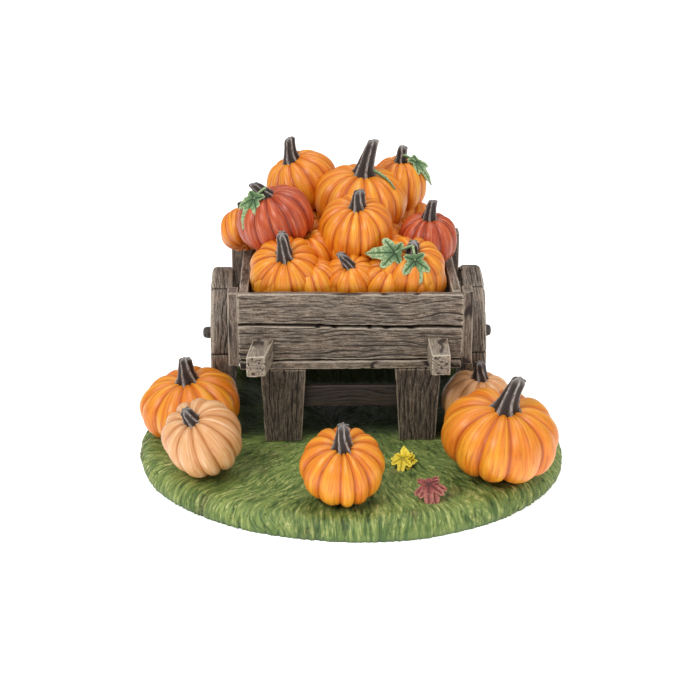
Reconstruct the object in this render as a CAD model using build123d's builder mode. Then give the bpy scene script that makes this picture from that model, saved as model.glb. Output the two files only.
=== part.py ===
from build123d import *
from dataclasses import dataclass
import math
import os

# A painted miniature farm hand cart heaped with pumpkins, standing on a grassy base.
# The front of the cart and its two handles face -Y.  Up is +Z.  The origin is on the
# flat underside of the base.  All sizes are in millimetres.

os.makedirs("parts", exist_ok=True)

# ---------------------------------------------------------------- driving dimensions

grass_height = 5.0  # top of the grass above the underside of the base
grass_round = 3.2  # rounding of the rim of the base
base_front_margin = 41.5  # base edge to front of cart
base_back_margin = 3.2  # back of cart to base edge
base_side_margin = 16.2  # outer face of wheel to base edge

cart_width = 50.0  # over the side boards
cart_length = 51.6  # over the front and rear boards
cart_front = -3.0  # Y of the front face of the front boards
board_thickness = 2.3
lower_board_height = 7.7
upper_board_height = 7.3
board_gap = 0.5  # open seam between the two boards of a wall
sill_gap = 0.3  # open seam between a lower board and the sill
board_chamfer = 0.25
floor_thickness = 2.1
floor_plank_count = 5
floor_plank_gap = 0.25

post_depth = 4.8  # along the side of the cart
front_post_thickness = 2.5
rear_post_thickness = 3.4
post_rise = 0.5  # top of a post above the top boards
post_drop = 0.9  # bottom of a post above the underside of the floor

handle_spacing = 39.2  # between the handle centres at the front boards
handle_reach = 10.9
handle_root = (4.8, 5.5)
handle_tip = (4.3, 5.0)
handle_rise = 4.8  # handle centre above the underside of the floor
left_handle_splay = 1.5
right_handle_splay = 0.0
tenon_size = (3.0, 3.5)
fit_gap = 0.05  # between a tenon and its mortise, an axle and its hole

leg_top_width = 10.6
leg_foot_width = 8.4
leg_thickness = 2.4
leg_setback = 0.3  # front of a leg behind the front boards
leg_spacing = 30.6  # between the leg centres
stretcher_height = 5.2
stretcher_thickness = 1.8
stretcher_lift = 7.6  # bottom of the stretcher above the grass
stretcher_overlap = 3.0  # length of stretcher behind each leg, past its centre

wheel_radius = 16.0
wheel_width = 5.3
wheel_side_gap = 2.1  # side of cart to inner face of wheel
wheel_post_gap = 0.5  # least clearance between a wheel and a rear post
wheel_ground_gap = 0.25  # tread above the grass
wheel_shoulder = 1.1  # rounding of the tread's edges
rim_depth = 3.6
felloe_count = 6
felloe_gap = 0.2
spoke_count = 8
spoke_root_radius = 1.15
spoke_tip_radius = 0.85
hub_radius = 3.4
bush_radius = 1.75
axle_radius = 1.1
axle_setback = 30.2  # axle behind the front of the cart
axle_under_floor = 1.45  # axle centre below the underside of the floor
axle_beam_depth = 5.0
axle_beam_height = 4.3
cap_radius = 1.5
cap_length = 1.8
side_play = 0.1  # wheel to cap, along the axle
beam_play = 0.2  # wheel to axle beam, along the axle

load_gap = 0.3  # between the load and the walls of the cart
nest_gap = 0.12  # between a pumpkin and what it is pressed into
heap_rise = 10.5  # height of the filling's sloping top
heap_taper = 45  # slope of that top, degrees from upright

nest_depth = 1.0  # how deep a pumpkin sits in its knoll of grass

leaf_thickness = 0.4
leaf_gap = 0.25

# ------------------------------------------------------------------ derived positions

axle_height = grass_height + wheel_ground_gap + wheel_radius
floor_bottom = axle_height + axle_under_floor
floor_top = floor_bottom + floor_thickness
lower_board_bottom = floor_top + sill_gap
lower_board_top = lower_board_bottom + lower_board_height
upper_board_bottom = lower_board_top + board_gap
wall_top = upper_board_bottom + upper_board_height

cart_back = cart_front + cart_length
axle_y = cart_front + axle_setback
cart_half = cart_width / 2
bed_half = cart_half - board_thickness
bed_front = cart_front + board_thickness
bed_back = cart_back - board_thickness
rear_post_front = cart_back - post_depth
wheel_back = axle_y + wheel_radius
wheel_passes_post = wheel_back + wheel_post_gap > rear_post_front
wheel_inner = cart_half + (
    rear_post_thickness + wheel_post_gap if wheel_passes_post else wheel_side_gap
)
wheel_outer = wheel_inner + wheel_width
wheel_front = axle_y - wheel_radius
rim_inner_radius = wheel_radius - rim_depth

base_half = wheel_outer + base_side_margin
base_front = cart_front - base_front_margin
base_back = cart_back + base_back_margin
base_middle = (base_front + base_back) / 2


# ------------------------------------------------------------------------- helpers

def finish(piece, label):
    """Label a finished piece and write it to its own file."""
    piece.label = label
    export_step(piece, f"parts/{label}.step")


def make_board(label, low, high, long_axis):
    """A plank between two opposite corners, its long edges lightly chamfered."""
    size = [high[i] - low[i] for i in range(3)]
    middle = tuple((high[i] + low[i]) / 2 for i in range(3))
    with BuildPart() as board:
        with Locations(middle):
            Box(*size)
        chamfer(board.edges().filter_by(long_axis), board_chamfer)
    finish(board.part, label)


def upright_plane(y):
    """A plane across the cart at the given Y, drawn in X and Z, facing forward."""
    return Plane.XZ.offset(-y)


# --------------------------------------------------------------------- grassy base

def base_outline():
    """The uneven oval edge of the base, which swells towards the front right."""
    points = []
    point_count = 16
    bulge_angle = math.radians(-50)
    for i in range(point_count):
        angle = 2 * math.pi * i / point_count
        turn = angle - bulge_angle
        swell = 1 + 0.020 * math.cos(turn) + 0.010 * math.cos(3 * turn)
        x = base_half * swell * math.cos(angle)
        y = base_middle + (base_back - base_front) / 2 * swell * math.sin(angle)
        points.append((x, y))
    return points


with BuildPart() as grass_base:
    with BuildSketch(Plane.XY):
        with BuildLine():
            Spline(*base_outline(), periodic=True)
        make_face()
    extrude(amount=grass_height)
    fillet(grass_base.faces().sort_by(Axis.Z)[-1].edges(), grass_round)
finish(grass_base.part, "grass_base")


# ------------------------------------------------------------------------ pumpkins

@dataclass
class Pumpkin:
    """One pumpkin: where its middle is, how big it is and which way it leans."""

    label: str
    center: tuple
    radius: float
    half_height: float
    lean: tuple = (0.0, 0.0)
    lobes: int = 10
    stem_height: float = 4.0
    stem_lean: tuple = (0.6, 0.0)

    def plane(self):
        """The plane through the pumpkin's middle, square to its own axis."""
        return Plane(origin=self.center, x_dir=(1, 0, -self.lean[0]), z_dir=(*self.lean, 1))

    def stem_seat(self):
        """Height of the flat seat of the stem above the pumpkin's middle."""
        return crown_height * self.half_height

    def near(self, other):
        """Whether this pumpkin and another may touch."""
        return math.dist(self.center, other.center) < self.radius + other.radius + 1


stem_root = 0.24  # radius of the foot of a stem, share of the radius
groove_depth = 0.10  # depth of a groove between two lobes, share of the radius
crown_radius = 0.25  # flat seat inside the dimple, share of the radius
crown_height = 0.88  # height of that seat, share of the half height
pumpkin_stations = [
    (crown_radius, -crown_height),
    (0.50, -0.98),
    (0.83, -0.62),
    (1.00, 0.00),
    (0.83, 0.62),
    (0.50, 0.97),
    (crown_radius, crown_height),
]


def lobed_ring(radius, lobes):
    """Points of a ring with a narrow groove between its round lobes."""
    points = []
    points_per_lobe = 4
    for i in range(lobes * points_per_lobe):
        angle = 2 * math.pi * i / (lobes * points_per_lobe)
        ridge = abs(math.cos(lobes * angle / 2)) ** 0.7
        reach = radius * (1 - groove_depth * (1 - ridge))
        points.append((reach * math.cos(angle), reach * math.sin(angle)))
    return points


def make_pumpkin(pumpkin, pressed_into=()):
    """A lobed pumpkin, hollowed where it is pressed against its neighbours."""
    with BuildPart() as body:
        for width, height in pumpkin_stations:
            with BuildSketch(pumpkin.plane().offset(height * pumpkin.half_height)):
                with BuildLine():
                    Spline(*lobed_ring(width * pumpkin.radius, pumpkin.lobes), periodic=True)
                make_face()
        loft()
        for neighbour in pressed_into:
            add(make_envelope(neighbour), mode=Mode.SUBTRACT)
    finish(body.part, pumpkin.label)
    return body.part


def make_envelope(pumpkin):
    """The smooth round space that a pumpkin needs, its nesting gap included."""
    wide = pumpkin.radius + nest_gap
    tall = pumpkin.half_height + nest_gap
    axis_plane = pumpkin.plane()
    side_plane = Plane(
        origin=pumpkin.center, x_dir=axis_plane.x_dir, z_dir=-axis_plane.y_dir
    )
    with BuildPart(mode=Mode.PRIVATE) as envelope:
        with BuildSketch(side_plane):
            with BuildLine():
                Line((0, -tall), (0.5 * wide, -tall))
                ThreePointArc((0.5 * wide, -tall), (wide, 0), (0.5 * wide, tall))
                Line((0.5 * wide, tall), (0, tall))
                Line((0, tall), (0, -tall))
            make_face()
        revolve(axis=Axis(pumpkin.center, axis_plane.z_dir))
    return envelope.part


def add_stem(pumpkin):
    """Add a bent, six-sided stem standing in the pumpkin's dimple."""
    root = pumpkin.radius * stem_root
    seat = pumpkin.plane().offset(pumpkin.stem_seat())
    stations = [(0.0, 1.0, 0.0), (0.3, 0.76, 0.15), (0.75, 0.58, 0.6), (1.0, 0.48, 1.0)]
    sections = []
    for height, width, shift in stations:
        with BuildSketch(seat.offset(height * pumpkin.stem_height)) as section:
            with Locations((shift * pumpkin.stem_lean[0], shift * pumpkin.stem_lean[1])):
                RegularPolygon(width * root, 6)
        sections.append(section.sketch.face())
    loft(sections)


left_big = Pumpkin(
    "left_big_pumpkin",
    (-(wheel_outer + 4.2), wheel_front - 9.8, grass_height + 8.2),
    11.9, 7.6, lean=(-0.10, -0.12), lobes=12, stem_height=6.0, stem_lean=(0.4, -0.3),
)
left_pale = Pumpkin(
    "left_pale_pumpkin",
    (-(wheel_outer + 0.2), cart_front - 18.4, grass_height + 9.1),
    8.8, 7.9, lean=(-0.34, -0.60), lobes=11, stem_height=3.4, stem_lean=(-0.4, 0.8),
)
front_middle = Pumpkin(
    "front_pumpkin",
    (-2.6, cart_front - 31.4, grass_height + 8.0),
    9.4, 7.0, lean=(0.0, -0.45), lobes=12, stem_height=6.0, stem_lean=(0.2, 2.2),
)
right_big = Pumpkin(
    "right_big_pumpkin",
    (wheel_outer - 0.4, cart_front - 19.0, grass_height + 10.0),
    13.2, 9.0, lean=(0.10, -0.25), lobes=12, stem_height=8.0, stem_lean=(2.2, 1.0),
)
right_pale = Pumpkin(
    "right_pale_pumpkin",
    (wheel_inner + 2.2, wheel_front - 8.8, grass_height + 7.7),
    8.3, 6.6, lean=(0.10, -0.10), lobes=10, stem_height=4.6, stem_lean=(-0.6, 0.0),
)
ground_pumpkins = [left_big, left_pale, front_middle, right_big, right_pale]

for ground_pumpkin in ground_pumpkins:
    make_pumpkin(ground_pumpkin)

with BuildPart() as ground_stems:
    for ground_pumpkin in ground_pumpkins:
        add_stem(ground_pumpkin)
finish(ground_stems.part, "ground_stems")


def make_mound(label, pumpkin):
    """A low knoll of grass that carries a pumpkin in a shallow nest."""
    knoll_height = pumpkin.center[2] - pumpkin.half_height - grass_height + nest_depth
    foot = (pumpkin.center[0], pumpkin.center[1], grass_height)
    with BuildPart() as mound:
        with BuildSketch(Plane(origin=foot)):
            Circle(0.80 * pumpkin.radius)
        with BuildSketch(Plane(origin=foot).offset(knoll_height)):
            Circle(0.55 * pumpkin.radius)
        loft()
        add(make_envelope(pumpkin), mode=Mode.SUBTRACT)
    finish(mound.part, label)


make_mound("left_knoll", left_big)
make_mound("right_knoll", right_pale)


# -------------------------------------------------------------------- fallen leaves

def leaf_outline(size, points_of_leaf):
    """Points of a leaf with pointed lobes round a middle."""
    points = []
    point_count = points_of_leaf * 4
    for i in range(point_count):
        angle = 2 * math.pi * i / point_count
        reach = size * (0.76 + 0.24 * math.cos(points_of_leaf * angle))
        points.append((reach * math.cos(angle), reach * math.sin(angle)))
    return points


def add_leaf(plane, size, points_of_leaf=5):
    """Add one flat leaf lying on a plane."""
    with BuildSketch(plane) as outline:
        with BuildLine():
            Spline(*leaf_outline(size, points_of_leaf), periodic=True)
        make_face()
    extrude(outline.sketch, amount=leaf_thickness)


with BuildPart() as yellow_leaf:
    add_leaf(Plane(origin=(11.0, cart_front - 15.0, grass_height)), 3.4, 6)
finish(yellow_leaf.part, "yellow_leaf")

with BuildPart() as red_leaf:
    add_leaf(Plane(origin=(15.4, cart_front - 31.4, grass_height)), 3.8, 5)
finish(red_leaf.part, "red_leaf")


# ----------------------------------------------------------------- walls of the cart

handle_height = floor_bottom + handle_rise
handle_places = [(-handle_spacing / 2, handle_height), (handle_spacing / 2, handle_height)]

with BuildPart() as front_board_lower:
    with BuildSketch(upright_plane(cart_front)):
        with Locations((0, (lower_board_bottom + lower_board_top) / 2)):
            Rectangle(cart_width, lower_board_height)
        with Locations(*handle_places):
            Rectangle(tenon_size[0] + 2 * fit_gap, tenon_size[1] + 2 * fit_gap, mode=Mode.SUBTRACT)
    extrude(amount=-board_thickness)
finish(front_board_lower.part, "front_board_lower")

make_board(
    "front_board_upper",
    (-cart_half, cart_front, upper_board_bottom), (cart_half, bed_front, wall_top), Axis.X,
)
for name, bottom, top in (
    ("lower", lower_board_bottom, lower_board_top),
    ("upper", upper_board_bottom, wall_top),
):
    make_board(
        f"rear_board_{name}", (-cart_half, bed_back, bottom), (cart_half, cart_back, top), Axis.X
    )
    make_board(
        f"left_board_{name}", (-cart_half, bed_front, bottom), (-bed_half, bed_back, top), Axis.Y
    )
    make_board(
        f"right_board_{name}", (bed_half, bed_front, bottom), (cart_half, bed_back, top), Axis.Y
    )

# sills and rails: the frame under the walls, with the floor planks between them
make_board(
    "front_sill", (-cart_half, cart_front, floor_bottom), (cart_half, bed_front, floor_top), Axis.X
)
make_board(
    "rear_sill", (-cart_half, bed_back, floor_bottom), (cart_half, cart_back, floor_top), Axis.X
)
make_board(
    "left_rail", (-cart_half, bed_front, floor_bottom), (-bed_half, bed_back, floor_top), Axis.Y
)
make_board(
    "right_rail", (bed_half, bed_front, floor_bottom), (cart_half, bed_back, floor_top), Axis.Y
)

plank_pitch = 2 * bed_half / floor_plank_count
with BuildPart() as floor_planks:
    with BuildSketch(Plane.XY.offset(floor_bottom)):
        with Locations((0, (bed_front + bed_back) / 2)):
            with GridLocations(plank_pitch, 0, floor_plank_count, 1):
                Rectangle(plank_pitch - floor_plank_gap, bed_back - bed_front)
    extrude(amount=floor_thickness)
finish(floor_planks.part, "floor_planks")

# corner posts, outside the side boards
post_bottom = floor_bottom + post_drop
post_top = wall_top + post_rise
for place, low_y, high_y, thickness in (
    ("front", cart_front, cart_front + post_depth, front_post_thickness),
    ("rear", rear_post_front, cart_back, rear_post_thickness),
):
    make_board(
        f"{place}_left_post",
        (-cart_half - thickness, low_y, post_bottom), (-cart_half, high_y, post_top), Axis.Z,
    )
    make_board(
        f"{place}_right_post",
        (cart_half, low_y, post_bottom), (cart_half + thickness, high_y, post_top), Axis.Z,
    )


# -------------------------------------------------------------- handles and the legs

def make_handle(label, middle_x, splay):
    """A stub handle that tapers to its tip, with a tenon through the lower front board."""
    with BuildPart() as handle:
        with BuildSketch(upright_plane(cart_front)):
            with Locations((middle_x, handle_height)):
                RectangleRounded(*handle_root, board_chamfer)
        with BuildSketch(upright_plane(cart_front - handle_reach)):
            with Locations((middle_x + splay, handle_height)):
                RectangleRounded(*handle_tip, board_chamfer)
        loft()
        with BuildSketch(upright_plane(cart_front)):
            with Locations((middle_x, handle_height)):
                Rectangle(*tenon_size)
        extrude(amount=-(board_thickness - fit_gap))
    finish(handle.part, label)


make_handle("left_handle", -handle_spacing / 2, -left_handle_splay)
make_handle("right_handle", handle_spacing / 2, right_handle_splay)

leg_front = cart_front + leg_setback
leg_back = leg_front + leg_thickness


def make_leg(label, middle_x):
    """A board leg that narrows to its foot and stands on the grass."""
    top_half = leg_top_width / 2
    foot_half = leg_foot_width / 2
    with BuildPart() as leg:
        with BuildSketch(upright_plane(leg_front)):
            with BuildLine():
                Polyline(
                    (middle_x - foot_half, grass_height),
                    (middle_x + foot_half, grass_height),
                    (middle_x + top_half, floor_bottom),
                    (middle_x - top_half, floor_bottom),
                    close=True,
                )
            make_face()
        extrude(amount=-leg_thickness)
    finish(leg.part, label)


make_leg("left_leg", -leg_spacing / 2)
make_leg("right_leg", leg_spacing / 2)

stretcher_half = leg_spacing / 2 + stretcher_overlap
stretcher_bottom = grass_height + stretcher_lift
make_board(
    "leg_stretcher",
    (-stretcher_half, leg_back, stretcher_bottom),
    (stretcher_half, leg_back + stretcher_thickness, stretcher_bottom + stretcher_height),
    Axis.X,
)


# ------------------------------------------------------------------ axle and wheels

beam_half = wheel_inner - beam_play
with BuildPart() as axle_beam:
    with Locations((0, axle_y, floor_bottom - axle_beam_height / 2)):
        Box(2 * beam_half, axle_beam_depth, axle_beam_height)
    with BuildSketch(Plane.YZ.offset(-beam_half)):
        with Locations((axle_y, axle_height)):
            Circle(axle_radius + fit_gap)
    extrude(amount=2 * beam_half, mode=Mode.SUBTRACT)
finish(axle_beam.part, "axle_beam")

cap_inner = wheel_outer + side_play
axle_half = cap_inner + 0.6 * cap_length
with BuildPart() as axle:
    with BuildSketch(Plane.YZ.offset(-axle_half)):
        with Locations((axle_y, axle_height)):
            Circle(axle_radius)
    extrude(amount=2 * axle_half)
finish(axle.part, "axle")


def wheel_plane(side, x):
    """A plane square to the axle at distance x from the middle, facing outward."""
    return Plane(origin=(side * x, axle_y, axle_height), x_dir=(0, 1, 0), z_dir=(side, 0, 0))


with BuildPart() as axle_caps:
    for side in (-1, 1):
        with BuildSketch(wheel_plane(side, cap_inner)):
            Circle(cap_radius)
        extrude(amount=cap_length)
        with BuildSketch(wheel_plane(side, cap_inner)):
            Circle(axle_radius + fit_gap)
        extrude(amount=axle_half - cap_inner + fit_gap, mode=Mode.SUBTRACT)
    fillet(axle_caps.faces().sort_by(Axis.X)[0].edges(), 0.5)
    fillet(axle_caps.faces().sort_by(Axis.X)[-1].edges(), 0.5)
finish(axle_caps.part, "axle_caps")


def make_wheel(name, side):
    """A wooden wheel: felloes, spokes, hub and bush."""
    inner = wheel_plane(side, wheel_inner)
    middle = wheel_plane(side, wheel_inner + wheel_width / 2)
    with BuildPart() as felloes:
        with BuildSketch(inner):
            Circle(wheel_radius)
            Circle(rim_inner_radius, mode=Mode.SUBTRACT)
        extrude(amount=wheel_width)
        tread_edges = felloes.edges().filter_by(GeomType.CIRCLE)
        fillet(tread_edges.filter_by(lambda edge: edge.radius > rim_inner_radius + 1), wheel_shoulder)
        with Locations(middle):
            with PolarLocations(wheel_radius, felloe_count, start_angle=180 / felloe_count):
                Box(2.5 * rim_depth, felloe_gap, 2 * wheel_width, mode=Mode.SUBTRACT)
    finish(felloes.part, f"{name}_felloes")

    spoke_length = rim_inner_radius - hub_radius - 2 * fit_gap
    with BuildPart() as spokes:
        for i in range(spoke_count):
            angle = 2 * math.pi * (i + 0.5) / spoke_count
            outward = (0, math.cos(angle), math.sin(angle))
            root = [middle.origin.X, axle_y, axle_height]
            root = [root[k] + (hub_radius + fit_gap) * outward[k] for k in range(3)]
            root_plane = Plane(origin=root, x_dir=(1, 0, 0), z_dir=outward)
            with BuildSketch(root_plane):
                Circle(spoke_root_radius)
            with BuildSketch(root_plane.offset(spoke_length)):
                Circle(spoke_tip_radius)
            loft()
    finish(spokes.part, f"{name}_spokes")

    with BuildPart() as hub:
        with BuildSketch(inner):
            Circle(hub_radius)
            Circle(bush_radius + fit_gap, mode=Mode.SUBTRACT)
        extrude(amount=wheel_width)
    finish(hub.part, f"{name}_hub")

    with BuildPart() as bush:
        with BuildSketch(inner):
            Circle(bush_radius)
            Circle(axle_radius + fit_gap, mode=Mode.SUBTRACT)
        extrude(amount=wheel_width)
    finish(bush.part, f"{name}_bush")


make_wheel("left_wheel", -1)
make_wheel("right_wheel", 1)


# ------------------------------------------------------------ the heap of pumpkins

# In the order they are laid: each one is pressed into those before it.
heap_pumpkins = [
    Pumpkin(
        "heap_front_left_pumpkin", (8.3 - bed_half, bed_front + 8.1, wall_top + 2.3),
        8.5, 6.6, lean=(-0.05, -0.80), lobes=11, stem_height=5.6, stem_lean=(-0.2, 2.4),
    ),
    Pumpkin(
        "heap_front_middle_pumpkin", (0.1, bed_front + 6.9, wall_top + 0.6),
        6.2, 5.2, lean=(0.0, -0.62), lobes=10, stem_height=3.0, stem_lean=(-2.4, 1.0),
    ),
    Pumpkin(
        "heap_front_right_pumpkin", (bed_half - 8.9, bed_front + 8.7, wall_top + 1.9),
        8.6, 6.8, lean=(0.06, -0.45), lobes=11, stem_height=2.4, stem_lean=(0.2, 0.4),
    ),
    Pumpkin(
        "heap_middle_pumpkin", (1.7, bed_front + 15.4, wall_top + 10.0),
        9.0, 7.0, lean=(0.04, -0.34), lobes=12, stem_height=4.2, stem_lean=(0.5, 1.4),
    ),
    Pumpkin(
        "heap_left_red_pumpkin", (5.9 - bed_half, bed_front + 18.0, wall_top + 11.7),
        9.3, 7.1, lean=(-0.34, -0.10), lobes=12, stem_height=3.8, stem_lean=(-2.0, 0.0),
    ),
    Pumpkin(
        "heap_right_red_pumpkin", (bed_half - 4.0, bed_front + 20.4, wall_top + 6.0),
        7.3, 6.0, lean=(0.02, -0.14), lobes=11, stem_height=4.4, stem_lean=(0.8, 0.4),
    ),
    Pumpkin(
        "heap_top_pumpkin", (3.3, bed_front + 29.0, wall_top + 13.3),
        11.4, 7.4, lean=(0.08, -0.14), lobes=12, stem_height=8.4, stem_lean=(1.8, 0.8),
    ),
    Pumpkin(
        "heap_back_left_pumpkin", (12.0 - bed_half, bed_back - 9.6, wall_top + 15.4),
        8.9, 7.1, lean=(-0.46, -0.10), lobes=12, stem_height=6.0, stem_lean=(2.4, 0.4),
    ),
    Pumpkin(
        "heap_back_right_pumpkin", (bed_half - 9.9, bed_back - 10.0, wall_top + 14.9),
        7.0, 6.6, lean=(0.04, -0.10), lobes=11, stem_height=3.8, stem_lean=(0.4, 0.2),
    ),
    Pumpkin(
        "heap_left_pumpkin", (-(bed_half + 1.6), bed_front + 29.4, wall_top + 6.2),
        6.2, 5.0, lean=(-0.10, 0.75), lobes=10, stem_height=2.8, stem_lean=(-0.3, 0.4),
    ),
    Pumpkin(
        "heap_rear_left_pumpkin", (9.2 - bed_half, bed_back - 7.6, wall_top + 4.2),
        8.0, 6.4, lean=(-0.15, 1.00), lobes=11, stem_height=3.0, stem_lean=(0.0, 0.4),
    ),
    Pumpkin(
        "heap_rear_right_pumpkin", (bed_half - 8.9, bed_back - 7.8, wall_top + 3.9),
        8.2, 6.6, lean=(0.15, 1.00), lobes=12, stem_height=2.6, stem_lean=(0.2, 1.6),
    ),
    Pumpkin(
        "heap_rear_middle_pumpkin", (0.2, bed_back - 6.6, wall_top + 8.4),
        6.8, 5.6, lean=(0.02, 0.90), lobes=10, stem_height=2.8, stem_lean=(0.0, 0.3),
    ),
]

for index, heap_pumpkin in enumerate(heap_pumpkins):
    neighbours = [other for other in heap_pumpkins[:index] if heap_pumpkin.near(other)]
    make_pumpkin(heap_pumpkin, neighbours)

with BuildPart() as heap_stems:
    for heap_pumpkin in heap_pumpkins:
        add_stem(heap_pumpkin)
finish(heap_stems.part, "heap_stems")

heap_bottom = floor_top + nest_gap
heap_shoulder = wall_top - 1.2
bed_middle = (bed_front + bed_back) / 2
with BuildPart() as heap_core:
    with BuildSketch(Plane.XY.offset(heap_bottom)):
        with Locations((0, bed_middle)):
            Rectangle(2 * (bed_half - load_gap), bed_back - bed_front - 2 * load_gap)
    extrude(amount=heap_shoulder - heap_bottom)
    with BuildSketch(Plane.XY.offset(heap_shoulder)):
        with Locations((0, bed_middle)):
            Rectangle(2 * (bed_half - load_gap), bed_back - bed_front - 2 * load_gap)
    extrude(amount=heap_rise, taper=heap_taper)
    for heap_pumpkin in heap_pumpkins:
        add(make_envelope(heap_pumpkin), mode=Mode.SUBTRACT)
finish(heap_core.part, "heap_core")


def leaf_plane(pumpkin, turn, tilt):
    """A plane on a pumpkin's skin, turned round its axis and tilted up from its waist."""
    axis_plane = pumpkin.plane()
    around = math.radians(turn)
    above = math.radians(tilt)
    sideways = axis_plane.x_dir * math.cos(around) + axis_plane.y_dir * math.sin(around)
    reach = (
        sideways * (math.cos(above) * pumpkin.radius)
        + axis_plane.z_dir * (math.sin(above) * pumpkin.half_height)
    )
    normal = (
        sideways * (math.cos(above) / pumpkin.radius)
        + axis_plane.z_dir * (math.sin(above) / pumpkin.half_height)
    ).normalized()
    crown_bulge = 1.09
    return Plane(origin=Vector(*pumpkin.center) + reach * crown_bulge + normal * leaf_gap, z_dir=normal)


front_right = heap_pumpkins[2]
left_red = heap_pumpkins[4]
back_right = heap_pumpkins[8]
with BuildPart() as heap_leaves:
    add_leaf(leaf_plane(front_right, 262, 38), 2.9)
    add_leaf(leaf_plane(front_right, 205, 46), 2.5)
    add_leaf(leaf_plane(left_red, 232, 30), 2.6)
    add_leaf(leaf_plane(back_right, -8, 30), 2.8)
finish(heap_leaves.part, "heap_leaves")
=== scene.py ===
"""A hand-painted miniature farm cart heaped with pumpkins, standing on a combed grassy base.

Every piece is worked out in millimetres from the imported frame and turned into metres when
its mesh is made.  The front of the cart faces -Y, and up is +Z.
"""
import logging
import math
from dataclasses import dataclass, field
from enum import Enum
from typing import Callable, Optional, Sequence, Union

import bpy
import numpy as np
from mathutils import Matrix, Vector


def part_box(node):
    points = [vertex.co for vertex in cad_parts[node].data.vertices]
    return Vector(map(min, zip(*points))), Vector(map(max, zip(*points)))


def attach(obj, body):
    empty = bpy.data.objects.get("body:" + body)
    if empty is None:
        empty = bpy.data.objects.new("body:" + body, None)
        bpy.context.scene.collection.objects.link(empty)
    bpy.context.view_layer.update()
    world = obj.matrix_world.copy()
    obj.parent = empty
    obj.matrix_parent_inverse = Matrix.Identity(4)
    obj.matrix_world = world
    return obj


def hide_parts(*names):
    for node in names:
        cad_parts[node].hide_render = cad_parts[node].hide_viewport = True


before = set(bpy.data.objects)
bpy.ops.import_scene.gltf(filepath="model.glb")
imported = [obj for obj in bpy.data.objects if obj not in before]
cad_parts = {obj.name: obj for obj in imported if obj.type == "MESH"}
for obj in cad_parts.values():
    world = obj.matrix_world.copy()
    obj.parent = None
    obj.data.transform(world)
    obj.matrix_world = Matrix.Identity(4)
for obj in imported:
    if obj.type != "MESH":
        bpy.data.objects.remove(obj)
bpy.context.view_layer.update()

LOG = logging.getLogger("farm_cart")
MM = 0.001
Colour = tuple[float, float, float]
Array = np.ndarray


# --------------------------------------------------------------------------- noise


@dataclass(frozen=True)
class Noise:
    """Smooth random relief that is the same on every run.

    Args:
        seed: whole number that picks the pattern.
    """

    seed: int

    def _corner(self, cell: Array) -> Array:
        """Give each lattice corner a fixed value between -1 and 1.

        Args:
            cell: whole-number lattice positions, one row each.

        Returns:
            One value for each row.
        """
        mixed = (
            cell[:, 0] * 374761393
            + cell[:, 1] * 668265263
            + cell[:, 2] * 1442695041
            + self.seed * 1274126177
        ) & 0xFFFFFFFF
        mixed = ((mixed ^ (mixed >> 13)) * 1274126177) & 0xFFFFFFFF
        mixed = ((mixed ^ (mixed >> 15)) * 2246822519) & 0xFFFFFFFF
        return (mixed ^ (mixed >> 16)) / 2147483648.0 - 1.0

    def at(self, x: Array, y: Array, z: Array) -> Array:
        """Read the relief at positions.

        Args:
            x: first coordinate, in lattice cells.
            y: second coordinate.
            z: third coordinate.

        Returns:
            Values between -1 and 1.
        """
        x, y, z = np.broadcast_arrays(x, y, z)
        spot = np.stack([x, y, z], axis=-1).astype(float).reshape(-1, 3)
        cell = np.floor(spot).astype(np.int64)
        part = spot - cell
        part = part * part * part * (part * (part * 6 - 15) + 10)
        total = np.zeros(len(spot))
        for i in (0, 1):
            for j in (0, 1):
                for k in (0, 1):
                    weight = (
                        np.abs(1 - i - part[:, 0])
                        * np.abs(1 - j - part[:, 1])
                        * np.abs(1 - k - part[:, 2])
                    )
                    total += weight * self._corner(cell + np.array([i, j, k]))
        return total.reshape(x.shape)


def ease(value: Array) -> Array:
    """Turn a value from 0 to 1 into a smooth step, clipped outside.

    Args:
        value: numbers to ease.

    Returns:
        Eased numbers between 0 and 1.
    """
    value = np.clip(value, 0.0, 1.0)
    return value * value * (3 - 2 * value)


# -------------------------------------------------------------------------- shells


@dataclass
class Shell:
    """A closed surface before it becomes a mesh.

    Args:
        points: positions in millimetres, one row each.
        faces: corner numbers of each face.
        marks: named values at the points, for the paint.
        flow: stretched positions at the points, which the fine strokes of paint follow.
    """

    points: Array
    faces: list[tuple[int, ...]]
    marks: dict[str, Array] = field(default_factory=dict)
    flow: Optional[Array] = None

    @staticmethod
    def joined(shells: Sequence["Shell"]) -> "Shell":
        """Put several shells into one.

        Args:
            shells: shells with the same marks.

        Returns:
            One shell that holds them all.
        """
        faces: list[tuple[int, ...]] = []
        start = 0
        for shell in shells:
            faces += [tuple(corner + start for corner in face) for face in shell.faces]
            start += len(shell.points)
        marks = {
            name: np.concatenate([shell.marks[name] for shell in shells])
            for name in shells[0].marks
        }
        return Shell(
            np.concatenate([shell.points for shell in shells]),
            faces,
            marks,
            np.concatenate([shell.flow for shell in shells]),
        )

    def piece(self, name: str, material: bpy.types.Material) -> bpy.types.Object:
        """Make the Blender object.

        Args:
            name: the piece's name.
            material: its finish.

        Returns:
            The new object, in metres.
        """
        mesh = bpy.data.meshes.new(name)
        mesh.from_pydata((self.points * MM).tolist(), [], self.faces)
        mesh.polygons.foreach_set("use_smooth", [True] * len(mesh.polygons))
        for mark, values in self.marks.items():
            layer = mesh.attributes.new(mark, "FLOAT", "POINT")
            layer.data.foreach_set("value", np.asarray(values, dtype=np.float32))
        if self.flow is not None:
            layer = mesh.attributes.new("flow", "FLOAT_VECTOR", "POINT")
            layer.data.foreach_set("vector", self.flow.astype(np.float32).ravel())
        mesh.materials.append(material)
        mesh.update()
        made = bpy.data.objects.new(name, mesh)
        bpy.context.scene.collection.objects.link(made)
        return made


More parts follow.
